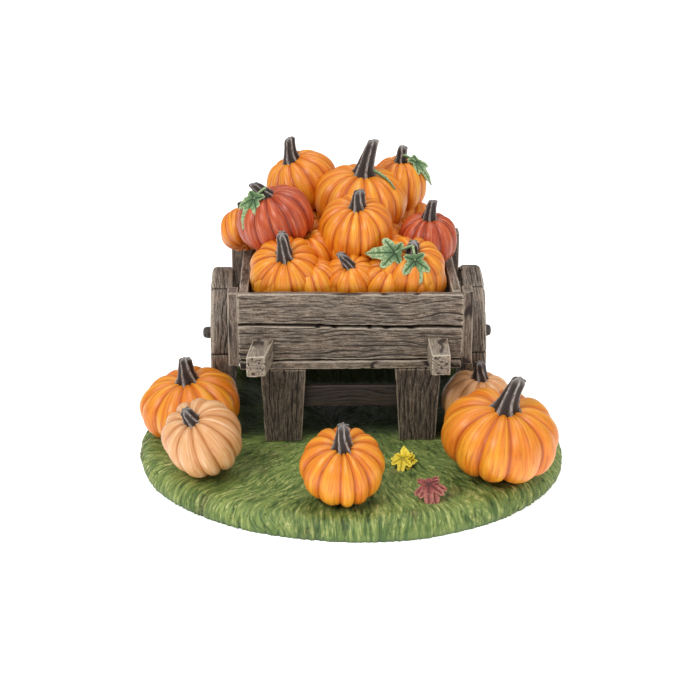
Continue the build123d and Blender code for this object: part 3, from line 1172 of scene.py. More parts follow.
@dataclass(frozen=True)
class Turned:
    """A round carved piece on the axle, such as a hub or a peg.

    Args:
        profile: distance along and radius, as shares of the length and the radius.
        length: its length along the axle.
        radius: its largest radius.
        seed: picks the grain.
    """

    profile: Sequence[tuple[float, float]]
    length: float
    radius: float
    seed: int

    def shell(self, start: Array, side: int) -> Shell:
        """Turn the piece.

        Args:
            start: its inner end, on the axle.
            side: 1 where it points to +X, -1 to -X.

        Returns:
            Its shell.
        """
        around = 72
        knots = np.array(self.profile)
        steps = np.linspace(0, len(knots) - 1, len(knots) * 6)
        along = np.interp(steps, np.arange(len(knots)), knots[:, 0]) * self.length
        reach = np.interp(steps, np.arange(len(knots)), knots[:, 1]) * self.radius
        angle = np.linspace(0, 2 * math.pi, around, endpoint=False)
        relief = Noise(self.seed)
        bump = relief.at(
            along[:, None] / 1.6, np.cos(angle)[None, :] * 1.7, np.sin(angle)[None, :] * 1.7
        )
        crack = np.abs(relief.at(along[:, None] / 3.0 + 9, angle[None, :] * 4.0, 0.0))
        carve = np.exp(-((crack / 0.10) ** 2)) * 0.8
        sunk = (0.05 + 0.05 * bump + 0.10 * carve) * (reach / self.radius)[:, None]
        radii = reach[:, None] - sunk
        rings = np.stack(
            [
                start[0] + side * np.repeat(along[:, None], around, axis=1),
                start[1] + radii * np.cos(angle),
                start[2] + side * radii * np.sin(angle),
            ],
            axis=-1,
        )
        flow = np.stack(
            [
                np.repeat(along[:, None], around, axis=1),
                self.radius * np.repeat(np.cos(angle)[None, :], len(along), axis=0) * 2,
                self.radius * np.repeat(np.sin(angle)[None, :], len(along), axis=0) * 2,
            ],
            axis=-1,
        )
        turn = np.abs(np.gradient(reach)) / (np.abs(np.gradient(along)) + 0.02)
        worn = np.repeat(ease(turn - 0.2)[:, None], around, axis=1) * 0.7
        return tube_shell(rings, {"carve": 1 - carve, "worn": worn}, flow)


@dataclass(frozen=True)
class Wheel:
    """One wooden wheel.

    Args:
        side: -1 for the left wheel, 1 for the right.
        rim_depth: depth of the felloes.
        felloe_count: felloes in the rim.
        spoke_count: spokes.
        rounding: radius of the tread's edges.
    """

    side: int
    rim_depth: float = 3.6
    felloe_count: int = 6
    spoke_count: int = 8
    rounding: float = 1.15

    @property
    def name(self) -> str:
        """Name of the wheel's body."""
        return "left_wheel" if self.side < 0 else "right_wheel"

    def build(self) -> None:
        """Carve the wheel's pieces."""
        low, high = millimetre_box(f"{self.name}_felloes")
        middle = (low + high) / 2
        radius = (high[1] - low[1]) / 2
        width = high[0] - low[0]
        self.rim(middle, radius, width)
        self.spokes(middle, radius)
        self.hub(middle, width)
        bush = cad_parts[f"{self.name}_bush"]
        bush.data.materials.clear()
        bush.data.materials.append(FINISHES.get(DARK_PEG))

    def _profile(self, radius: float, width: float) -> tuple[Array, Array]:
        """Outline of the rim's section.

        Args:
            radius: outer radius of the rim.
            width: width of the tread.

        Returns:
            Positions as (across, radius), and outward directions.
        """
        half = np.array([width / 2, self.rim_depth / 2])
        centre = radius - self.rim_depth / 2
        spots = []
        for corner in range(4):
            start = math.pi / 2 * corner
            sign = [(1, 1), (-1, 1), (-1, -1), (1, -1)][corner]
            rounding = self.rounding if sign[1] > 0 else 0.35
            inner = (half - rounding) * sign
            for turn in np.linspace(0, math.pi / 2, 7):
                direction = np.array([math.cos(start + turn), math.sin(start + turn)])
                spots.append((inner + direction * rounding, direction))
        points: list[Array] = []
        normals: list[Array] = []
        for (here, here_out), (there, there_out) in zip(spots, spots[1:] + spots[:1]):
            pieces = max(1, int(np.linalg.norm(there - here) / 0.26))
            for k in range(pieces):
                share = k / pieces
                points.append(here + (there - here) * share)
                normals.append(here_out + (there_out - here_out) * share)
        outline = np.array(points) + np.array([0, centre])
        return outline, np.array(normals)

    def rim(self, middle: Array, radius: float, width: float) -> None:
        """The ring of felloes.

        Args:
            middle: middle of the wheel.
            radius: outer radius.
            width: width of the tread.
        """
        outline, outward = self._profile(radius, width)
        around = 420
        angle = np.linspace(0, 2 * math.pi, around, endpoint=False)[:, None]
        across, reach = outline[:, 0][None, :], outline[:, 1][None, :]
        felloe = np.floor(angle / (2 * math.pi) * self.felloe_count)
        along = angle * radius + felloe * 17
        grain = Grain(611 + self.side, pitch=0.85)
        carve = grain.carve(along, across + felloe * 3.1, reach - radius)
        dent = grain.dent(along, across, reach - radius)
        seam = np.abs((angle / (2 * math.pi) * self.felloe_count + 0.5) % 1 - 0.5)
        seam = seam * 2 * math.pi * radius / self.felloe_count
        joint = np.repeat(np.exp(-((seam / 0.22) ** 2)), outline.shape[0], axis=1)
        sunk = grain.depth * carve + 0.14 * dent + 0.40 * joint
        cross = across - outward[None, :, 0] * sunk
        radial = reach - outward[None, :, 1] * sunk
        rings = np.stack(
            [
                middle[0] + self.side * cross,
                middle[1] + radial * np.cos(angle),
                middle[2] + radial * np.sin(angle),
            ],
            axis=-1,
        )
        if self.side > 0:
            rings = rings[:, ::-1]
            carve, joint = carve[:, ::-1], joint[:, ::-1]
            across, reach = across[:, ::-1], reach[:, ::-1]
        blunt = np.hypot(np.abs(across) - width / 2, reach - radius)
        worn = np.exp(-((blunt / 1.0) ** 2)) * (joint < 0.4)
        flow = np.stack(np.broadcast_arrays(along, across, reach), axis=-1)
        shell = Shell(
            rings.reshape(-1, 3),
            ring_faces(around, outline.shape[0], wrap=True),
            {
                "carve": (1 - np.maximum(carve, joint)).ravel(),
                "worn": np.broadcast_to(worn, carve.shape).ravel(),
            },
            flow.reshape(-1, 3),
        )
        settle(shell, f"{self.name}_felloes", self.name, WEATHERED)

    def spokes(self, middle: Array, radius: float) -> None:
        """The spokes, from inside the hub to inside the rim.

        Args:
            middle: middle of the wheel.
            radius: outer radius of the wheel.
        """
        hub_low, hub_high = millimetre_box(f"{self.name}_hub")
        start = (hub_high[2] - hub_low[2]) / 2 - 0.4
        end = radius - self.rim_depth + 0.4
        around = 28
        steps = 30
        shells = []
        for i in range(self.spoke_count):
            turn = 2 * math.pi * (i + 0.5) / self.spoke_count
            share = np.linspace(0, 1, steps)[:, None]
            reach = start + (end - start) * share
            angle = np.linspace(0, 2 * math.pi, around, endpoint=False)[None, :]
            squared = 1 / (np.abs(np.cos(angle)) ** 3 + np.abs(np.sin(angle)) ** 3) ** (1 / 3)
            thick = 1.12 - 0.30 * ease(share * 1.4) + 0.12 * ease(share * 4 - 3)
            grain = Grain(700 + 20 * self.side + i, pitch=0.7, width=0.14, depth=0.13)
            carve = grain.carve(reach, thick * np.cos(angle), thick * np.sin(angle))
            radii = thick * squared - grain.depth * carve
            cross = radii * np.cos(angle) * 1.15
            aside = radii * np.sin(angle) * 0.92
            rings = np.stack(
                [
                    middle[0] + cross,
                    middle[1] + reach * math.cos(turn) - aside * math.sin(turn),
                    middle[2] + reach * math.sin(turn) + aside * math.cos(turn),
                ],
                axis=-1,
            )
            flow = np.stack(np.broadcast_arrays(reach + 9 * i, cross, aside), axis=-1)
            worn = np.abs(np.sin(2 * angle)) ** 3 * np.ones_like(carve) * 0.7
            shells.append(tube_shell(rings, {"carve": 1 - carve, "worn": worn}, flow))
        settle(Shell.joined(shells), f"{self.name}_spokes", self.name, WEATHERED)

    def hub(self, middle: Array, width: float) -> None:
        """The hub, turned with two rounded bands.

        Args:
            middle: middle of the wheel.
            width: width of the tread.
        """
        low, high = millimetre_box(f"{self.name}_hub")
        radius = (high[2] - low[2]) / 2
        profile = [
            (0.0, 0.50), (0.01, 0.80), (0.05, 0.88), (0.14, 0.92), (0.20, 0.84), (0.27, 0.98),
            (0.40, 1.0), (0.60, 1.0), (0.73, 0.98), (0.80, 0.84), (0.86, 0.92), (0.95, 0.88),
            (0.99, 0.80), (1.0, 0.50),
        ]
        start = np.array([middle[0] - self.side * width / 2, middle[1], middle[2]])
        shell = Turned(profile, width - 0.02, radius, 640 + self.side).shell(start, self.side)
        settle(shell, f"{self.name}_hub", self.name, WEATHERED)


# ------------------------------------------------------------------------- pumpkins


class Skin(Enum):
    """The colourings of the pumpkins."""

    ORANGE = "orange_pumpkin"
    RED = "red_orange_pumpkin"
    PEACH = "pale_peach_pumpkin"

    @property
    def finish(self) -> PumpkinSkin:
        """The paint of this colouring."""
        return {Skin.ORANGE: ORANGE, Skin.RED: RED, Skin.PEACH: PEACH}[self]


@dataclass(frozen=True)
class Pumpkin:
    """One pumpkin with its stem.

    Args:
        node: the node it replaces.
        middle: its middle in millimetres.
        radius: its widest radius.
        half_height: half its height.
        lean: lean of its axis in X and Y.
        lobes: number of lobes.
        skin: its colouring.
        stem_height: height of its stem.
        stem_lean: how far the stem's end leans over in X and Y.
        seed: picks the unevenness of its lobes.
    """

    node: str
    middle: tuple[float, float, float]
    radius: float
    half_height: float
    lean: tuple[float, float]
    lobes: int
    skin: Skin
    stem_height: float
    stem_lean: tuple[float, float]
    seed: int

    def _profile(self, steps: int) -> tuple[Array, Array, Array]:
        """The outline from the bottom dimple, round the waist, to the top dimple.

        Args:
            steps: number of points.

        Returns:
            Radius and height as shares, and how deep the grooves are at each point.
        """
        turn = np.linspace(-math.pi / 2, math.pi / 2, steps)
        radius = np.cos(turn) ** 0.82
        height = np.sign(np.sin(turn)) * np.abs(np.sin(turn)) ** 0.92
        dimple = np.exp(-((radius / 0.30) ** 2))
        height = height - np.sign(height) * dimple * 0.20
        depth = 0.095 + 0.10 * np.exp(-(((radius - 0.42) / 0.24) ** 2))
        depth = depth * ease(radius / 0.16)
        return radius, height, depth

    def shell(self, steps: int = 58, per_lobe: int = 14) -> Shell:
        """Grow the lobed body.

        Args:
            steps: points from bottom to top.
            per_lobe: points across each lobe.

        Returns:
            Its shell, with the marks rib and rise.
        """
        rng = np.random.default_rng(self.seed)
        widths = rng.uniform(0.72, 1.28, self.lobes)
        edges = np.concatenate([[0], np.cumsum(widths / widths.sum())]) * 2 * math.pi
        edges += rng.uniform(0, math.pi)
        swell = rng.uniform(-0.035, 0.03, self.lobes)
        share = np.linspace(0, 1, per_lobe, endpoint=False)
        share = share + 0.06 * np.sin(2 * math.pi * share)
        angle = np.concatenate([low + (high - low) * share for low, high in zip(edges, edges[1:])])
        across = np.tile(share, self.lobes)
        lift = np.repeat(swell, per_lobe)
        bulge = (1 - np.abs(2 * across - 1) ** 2.3) ** 0.8
        size = np.repeat(widths, per_lobe)
        radius, height, depth = self._profile(steps)
        groove = depth[:, None] * (0.75 + 0.35 * size[None, :])
        factor = 1 - groove * (1 - bulge[None, :]) + lift[None, :] * bulge[None, :] * 0.8
        relief = Noise(self.seed)
        cos, sin = np.cos(angle)[None, :], np.sin(angle)[None, :]
        slow = relief.at(cos * 1.3, sin * 1.3, height[:, None] * 1.3)
        fine = relief.at(cos * 9 + 30, sin * 9, height[:, None] * 2.2)
        factor = factor * (1 - 0.022 + 0.022 * slow) + 0.006 * fine - 0.006
        radii = self.radius * radius[:, None] * factor
        shoulder = 1 - 0.10 * (1 - bulge)[None, :] * ease(np.abs(height))[:, None]
        heights = self.half_height * height[:, None] * shoulder * (1 + 0.03 * slow)
        local = np.stack([radii * np.cos(angle), radii * np.sin(angle), heights], axis=-1)
        rings = local @ axis_frame(self.lean) + np.array(self.middle)
        rib = np.broadcast_to(bulge[None, :], radii.shape)
        rise = np.broadcast_to((height[:, None] + 1) / 2, radii.shape)
        flow = np.stack(
            [
                self.radius * np.broadcast_to(np.cos(angle), radii.shape),
                self.radius * np.broadcast_to(np.sin(angle), radii.shape),
                heights + 40.0 * (self.seed % 17),
            ],
            axis=-1,
        )
        return tube_shell(rings, {"rib": rib, "rise": rise}, flow)

    def stem(self) -> Shell:
        """Grow the stem: a ribbed, bent stalk with a flared foot and a cut end.

        Returns:
            Its shell, with the marks rib and worn.
        """
        rng = np.random.default_rng(self.seed + 900)
        around, steps, ribs = 72, 34, 6
        tip = 0.74 + 0.062 * self.radius
        foot = 0.27 * self.radius + 0.35
        rise = self.half_height * 0.14 + self.stem_height
        share = np.linspace(0, 1, steps)
        dome = np.array([0.35, 0.62, 0.82, 0.94, 1.0])
        closing = np.sqrt(1 - np.concatenate([np.zeros(steps), dome * 0.985]) ** 2)
        rounded = 0.45 * tip / rise
        share = np.concatenate([share * (1 - rounded), 1 + (dome - 1) * rounded])
        thick = tip + (foot - tip) * (0.40 * (1 - share) ** 1.5 + 0.60 * np.exp(-share * 5))
        angle = np.linspace(0, 2 * math.pi, around, endpoint=False)
        twist = rng.uniform(0.3, 0.9) * share[:, None]
        cos, sin = np.cos(angle), np.sin(angle)
        wander = Noise(self.seed + 76).at(share[:, None] * 3, cos * 1.2, sin * 1.2)
        wave = np.cos(ribs * (angle[None, :] + twist + 0.10 * wander) + rng.uniform(0, 6))
        ridge = (0.5 + 0.5 * wave) ** 1.8
        relief = Noise(self.seed + 77).at(share[:, None] * 6, cos * 2.5, sin * 2.5)
        radii = thick[:, None] * (0.80 + 0.24 * ridge + 0.05 * relief)
        star = 1 + 0.40 * np.exp(-share * 11)[:, None] * (ridge - 0.35)
        radii = radii * star * closing[:, None]
        bend = share ** 1.5
        lean_x = self.stem_lean[0] * bend[:, None]
        lean_y = self.stem_lean[1] * bend[:, None]
        seat = self.half_height * 0.74
        tilt = 0.10 * np.cos(angle + rng.uniform(0, 6))[None, :] * thick[:, None]
        heights = seat + rise * share[:, None] + tilt * ease(share * 3 - 2)[:, None]
        local = np.stack([radii * cos + lean_x, radii * sin + lean_y, heights], axis=-1)
        rings = local @ axis_frame(self.lean) + np.array(self.middle)
        worn = ((1 - closing) * 0.55 + ease(share * 6 - 5) * 0.3)[:, None] * np.ones_like(radii)
        flow = np.stack([radii * cos * 2, radii * sin * 2, heights], axis=-1)
        return tube_shell(rings, {"rib": ridge, "worn": np.clip(worn, 0, 1)}, flow)

    def build(self, body: str) -> None:
        """Make the pumpkin's body and let it ride.

        Args:
            body: the body it rides on.
        """
        settle(self.shell(), self.node, body, self.skin.finish)

    def skin_point(self, turn: float, tilt: float) -> tuple[Array, Array]:
        """A spot on the skin and the way out from it.

        Args:
            turn: degrees round its own axis, from its own X direction.
            tilt: degrees up from the waist.

        Returns:
            Position and outward direction.
        """
        turn, tilt = math.radians(turn), math.radians(tilt)
        level = math.cos(tilt)
        way = np.array([math.cos(turn) * level, math.sin(turn) * level, math.sin(tilt)])
        size = np.array([self.radius, self.radius, self.half_height])
        own = axis_frame(self.lean)
        outward = (way / size) @ own
        return np.array(self.middle) + (way * size) @ own, outward / np.linalg.norm(outward)


# --------------------------------------------------------------------------- leaves


@dataclass(frozen=True)
class Leaf:
    """A maple-like leaf, cupped over what it lies on.

    Args:
        base: where its stalk meets it.
        outward: direction that its face looks in.
        heading: direction, roughly, that its tip points in.
        size: length from its base to its tip.
        breadth: width, as a share of an evenly spread leaf.
        droop: radius of the surface it bends over.
        seed: picks its ripples.
        fingers: how deep the gaps between its lobes are.
    """

    base: Array
    outward: Array
    heading: Array
    size: float
    breadth: float
    droop: float
    seed: int
    fingers: float = 1.0

    # direction, length and half-spread of each lobe
    LOBES = (
        (0.0, 1.0, 0.50),
        (0.95, 0.78, 0.44),
        (-0.95, 0.78, 0.44),
        (1.95, 0.52, 0.46),
        (-1.95, 0.52, 0.46),
    )

    def _edge(self, angle: Array) -> tuple[Array, Array]:
        """Outline of the leaf: a long tip, two side lobes and two small ones at the base.

        Args:
            angle: directions round its base, from its tip.

        Returns:
            Reach of the edge, and the sine of the angle to the nearest vein.
        """
        reach = np.full_like(angle, 0.22)
        nearest = np.full_like(angle, 9.0)
        for toward, length, spread in self.LOBES:
            apart = np.abs((angle - toward + math.pi) % (2 * math.pi) - math.pi)
            reach = np.maximum(reach, length * (1 - 0.42 * self.fingers * (apart / spread) ** 1.15))
            nearest = np.minimum(nearest, apart)
        ragged = Noise(self.seed).at(np.cos(angle) * 2, np.sin(angle) * 2, 0.3)
        teeth = 1 + 0.035 * np.cos(angle * 23) + 0.05 * ragged
        return reach * teeth, np.sin(np.minimum(nearest, math.pi / 2))

    def shell(self) -> Shell:
        """Grow the leaf.

        Returns:
            Its shell, with the marks rib and worn.
        """
        around, rings_out = 132, 15
        angle = np.linspace(0, 2 * math.pi, around, endpoint=False)
        edge, aside = self._edge(angle)
        relief = Noise(self.seed)
        out = np.linspace(0.03, 1.0, rings_out)[:, None]
        along = out * edge * np.cos(angle) * self.size
        across = out * edge * np.sin(angle) * self.size * self.breadth
        apart = aside * out * edge * self.size
        vein = np.exp(-((apart / 0.20) ** 2)) * ease((1.0 - out) * 5)
        branch = np.exp(-((np.sin(out * edge * 13 - np.abs(aside) * 7) / 0.35) ** 2)) * 0.5
        dark = np.maximum(vein, branch * ease((1.0 - out) * 4))
        bumps = relief.at(along / 2.4 + 5, across / 2.4, 0.1)
        lift = -0.16 * vein + 0.30 * bumps * out + 0.30 * out ** 3
        sag = -(along ** 2 + across ** 2) / (2 * self.droop)
        thickness = 0.18 + 0.16 * (1 - out ** 3)
        top = np.stack([along, across, sag + lift + thickness], axis=-1)
        bottom = np.stack([along * 0.985, across * 0.985, sag + lift * 0.8 - 0.05], axis=-1)
        local = np.concatenate([bottom, top[::-1]])
        up = self.outward / np.linalg.norm(self.outward)
        ahead = self.heading - up * float(self.heading @ up)
        ahead = ahead / np.linalg.norm(ahead)
        rings = local @ np.array([ahead, np.cross(up, ahead), up]) + self.base
        tone = (0.42 + 0.55 * ease(out * edge * 1.7)) * (1 - 0.80 * dark)
        rim = np.broadcast_to(ease(out * 5 - 4.1), along.shape)
        marks = {
            name: np.concatenate([mark * 0.4, mark[::-1]])
            for name, mark in (("rib", tone), ("worn", rim))
        }
        return tube_shell(rings, marks, local + self.seed)


@dataclass(frozen=True)
class Tendril:
    """A thin vine that curls over the pumpkins.

    Args:
        points: a few points that it passes near.
        radius: its thickness.
    """

    points: Sequence[Array]
    radius: float = 0.34

    def shell(self) -> Shell:
        """Grow the tendril.

        Returns:
            Its shell, with the marks rib and worn.
        """
        knots = np.array(self.points)
        curve = bpy.data.curves.new("tendril_path", "CURVE")
        curve.dimensions = "3D"
        spline = curve.splines.new("NURBS")
        spline.points.add(len(knots) - 1)
        for point, knot in zip(spline.points, knots):
            point.co = (*knot, 1.0)
        spline.order_u = 4
        spline.use_endpoint_u = True
        spline.resolution_u = 10
        holder = bpy.data.objects.new("tendril_path", curve)
        path = bpy.data.meshes.new_from_object(holder)
        spots = np.array([vertex.co for vertex in path.vertices])
        bpy.data.objects.remove(holder)
        bpy.data.curves.remove(curve)
        bpy.data.meshes.remove(path)
        around = 10
        angle = np.linspace(0, 2 * math.pi, around, endpoint=False)
        rings = []
        side = np.array([0.0, 0.0, 1.0])
        for i, spot in enumerate(spots):
            ahead = spots[min(i + 1, len(spots) - 1)] - spots[max(i - 1, 0)]
            ahead = ahead / np.linalg.norm(ahead)
            side = side - ahead * float(side @ ahead)
            side = side / np.linalg.norm(side)
            other = np.cross(ahead, side)
            thick = self.radius * (1 - 0.55 * i / len(spots))
            ring = np.outer(np.cos(angle), side) + np.outer(np.sin(angle), other)
            rings.append(spot + thick * ring)
        stack = np.array(rings)
        rib = np.broadcast_to(0.5 + 0.5 * np.cos(angle), stack.shape[:2])
        return tube_shell(stack, {"rib": rib, "worn": rib * 0.3}, stack)


# ----------------------------------------------------------------------------- load


class Side(Enum):
    """Which side wall of the bed a distance is measured from."""

    LEFT = -1
    MIDDLE = 0
    RIGHT = 1


class End(Enum):
    """Which end board of the bed a distance is measured from."""

    FRONT = 0
    BACK = 1


@dataclass(frozen=True)
class Bed:
    """The inside of the cart, read from its boards.

    Args:
        half: half its width.
        front: inner face of the front boards.
        back: inner face of the rear boards.
        top: top of the walls.
        floor: top of the floor.
    """

    half: float
    front: float
    back: float
    top: float
    floor: float

    @staticmethod
    def read() -> "Bed":
        """Read the bed from the frame.

        Returns:
            The bed.
        """
        left_low, left_high = millimetre_box("left_board_upper")
        _, floor_high = millimetre_box("floor_planks")
        return Bed(-left_high[0], left_low[1], left_high[1], left_high[2], floor_high[2])

    def spot(
        self, side: Side, inset: float, end: End, depth: float, rise: float
    ) -> tuple[float, float, float]:
        """A place in the heap.

        Args:
            side: wall that inset is measured from, or the middle of the bed.
            inset: distance in from that wall, or to the right of the middle.
            end: end board that depth is measured from.
            depth: distance in from it.
            rise: height above the walls.

        Returns:
            The position in millimetres.
        """
        across = {
            Side.LEFT: inset - self.half,
            Side.MIDDLE: inset,
            Side.RIGHT: self.half - inset,
        }[side]
        along = self.front + depth if end is End.FRONT else self.back - depth
        return (across, along, self.top + rise)


@dataclass(frozen=True)
class Heap:
    """The pumpkins in the cart, their stems and leaves, and the filling below them.

    Args:
        bed: inside of the cart.
    """

    bed: Bed

    def pumpkins(self) -> list[Pumpkin]:
        """The heaped pumpkins, placed as their nodes are.

        Returns:
            One pumpkin for each node.
        """
        spot = self.bed.spot
        left, middle, right = Side.LEFT, Side.MIDDLE, Side.RIGHT
        front, back = End.FRONT, End.BACK
        orange, red = Skin.ORANGE, Skin.RED
        rows = [
            # name, place,
            # radius, half height, lean, lobes, skin, stem height, stem lean
            ("front_left", spot(left, 8.3, front, 8.1, 2.3),
             8.5, 6.6, (-0.05, -0.80), 11, orange, 5.6, (-0.2, 2.4)),
            ("front_middle", spot(middle, 0.1, front, 6.9, 0.6),
             6.2, 5.2, (0.0, -0.62), 10, orange, 3.0, (-2.4, 1.0)),
            ("front_right", spot(right, 8.9, front, 8.7, 1.9),
             8.6, 6.8, (0.06, -0.45), 11, orange, 2.4, (0.2, 0.4)),
            ("middle", spot(middle, 1.7, front, 15.4, 10.0),
             9.0, 7.0, (0.04, -0.34), 12, orange, 3.7, (0.5, 1.2)),
            ("left_red", spot(left, 5.9, front, 18.0, 11.7),
             9.3, 7.1, (-0.34, -0.10), 12, red, 3.8, (-2.0, 0.0)),
            ("right_red", spot(right, 4.0, front, 20.4, 6.0),
             7.3, 6.0, (0.02, -0.14), 11, red, 4.4, (0.8, 0.4)),
            ("top", spot(middle, 3.3, front, 29.0, 13.3),
             11.4, 7.4, (0.08, -0.14), 12, orange, 8.4, (1.8, 0.8)),
            ("back_left", spot(left, 12.0, back, 9.6, 15.4),
             8.9, 7.1, (-0.46, -0.10), 12, orange, 5.1, (2.2, 0.4)),
            ("back_right", spot(right, 9.9, back, 10.0, 14.9),
             7.0, 6.6, (0.04, -0.10), 11, orange, 3.8, (0.4, 0.2)),
            ("left", spot(left, -1.6, front, 29.4, 6.2),
             6.2, 5.0, (-0.10, 0.75), 10, orange, 2.8, (-0.3, 0.4)),
            ("rear_left", spot(left, 9.2, back, 7.6, 4.2),
             8.0, 6.4, (-0.15, 1.00), 11, orange, 3.0, (0.0, 0.4)),
            ("rear_right", spot(right, 8.9, back, 7.8, 3.9),
             8.2, 6.6, (0.15, 1.00), 12, orange, 2.6, (0.2, 1.6)),
            ("rear_middle", spot(middle, 0.2, back, 6.6, 8.4),
             6.8, 5.6, (0.02, 0.90), 10, orange, 2.8, (0.0, 0.3)),
        ]
        return [
            Pumpkin(f"heap_{name}_pumpkin", *rest, seed=31 + 13 * index)
            for index, (name, *rest) in enumerate(rows)
        ]

    def build(self) -> None:
        """Make the whole load."""
        pumpkins = self.pumpkins()
        for pumpkin in pumpkins:
            pumpkin.build("load")
        stems = Shell.joined([pumpkin.stem() for pumpkin in pumpkins])
        settle(stems, "heap_stems", "load", STEM)
        self.leaves({pumpkin.node: pumpkin for pumpkin in pumpkins})
        self.filling()

    def leaves(self, pumpkins: dict[str, Pumpkin]) -> None:
        """Lay the green leaves and a curling vine over the heap.

        Args:
            pumpkins: the pumpkins by node.
        """
        places = [
            ("heap_front_right_pumpkin", 276, 64, (0.05, -0.9, 0.0), (0.15, -0.5, -1.0), 6.4, 0.80),
            ("heap_front_right_pumpkin", 205, 62, (0.1, -0.9, 0.1), (-1.0, 0.0, 0.12), 6.8, 0.80),
            ("heap_left_red_pumpkin", 226, 68, (-0.1, -0.5, 0.0), (-0.55, -0.4, -1.0), 7.0, 0.70),
            ("heap_back_right_pumpkin", 338, 62, (0.0, -0.4, 0.0), (0.75, -0.2, -1.0), 6.2, 0.52),
        ]
        shells = []
        for index, (node, turn, tilt, facing, heading, size, breadth) in enumerate(places):
            pumpkin = pumpkins[node]
            base, outward = pumpkin.skin_point(turn, tilt)
            leaf = Leaf(
                base + outward * 0.6,
                outward + np.array(facing),
                np.array(heading),
                size,
                breadth,
                droop=pumpkin.radius * 1.35,
                seed=41 + index,
            )
            shells.append(leaf.shell())
            crown = pumpkin.skin_point(270, 84)[0] + np.array([0, 0, 1.0])
            stalk = [crown, crown + outward * 0.5, base + outward * 1.1, leaf.base]
            shells.append(Tendril(stalk, 0.42).shell())
        shells.append(self.vine(pumpkins["heap_top_pumpkin"]))
        settle(Shell.joined(shells), "heap_leaves", "load", GREEN_LEAF)

    def vine(self, top: Pumpkin) -> Shell:
        """The curling vine beside the top pumpkin's stem.

        Args:
            top: pumpkin that it lies on.

        Returns:
            Its shell.
        """
        route = [(340, 78, 0.7), (335, 70, 0.6), (325, 64, 1.0), (334, 59, 0.5), (324, 54, 1.0),
                 (332, 50, 0.5), (322, 46, 0.9), (328, 42, 0.4)]
        points = []
        for turn, tilt, gap in route:
            middle, outward = top.skin_point(turn, tilt)
            points.append(middle + outward * gap)
        return Tendril(points, 0.42).shell()

    def filling(self) -> None:
        """Small pumpkins that show in the gaps of the heap, as one piece."""
        bed = self.bed
        rng = np.random.default_rng(77)
        shells = []
        rows, columns = 5, 5
        for row in range(rows):
            for column in range(columns):
                x = (column - (columns - 1) / 2) * (bed.half - 6.6) / 2
                y = bed.front + 7.0 + row * (bed.back - bed.front - 14.0) / (rows - 1)
                inward = 1 - max(abs(x) / bed.half, abs(y - (bed.front + bed.back) / 2) / 24)
                rise = -4.2 + 13.0 * max(0.0, inward)
                lean = tuple(rng.uniform(-0.5, 0.5, 2))
                small = Pumpkin(
                    "filling", (x, y, bed.top + rise), 6.2, 5.2, lean, 10, Skin.ORANGE,
                    0.0, (0.0, 0.0), 800 + 5 * row + column,
                )
                shells.append(small.shell(steps=34, per_lobe=10))
        settle(Shell.joined(shells), "heap_core", "load", ORANGE)


# ----------------------------------------------------------------------------- base


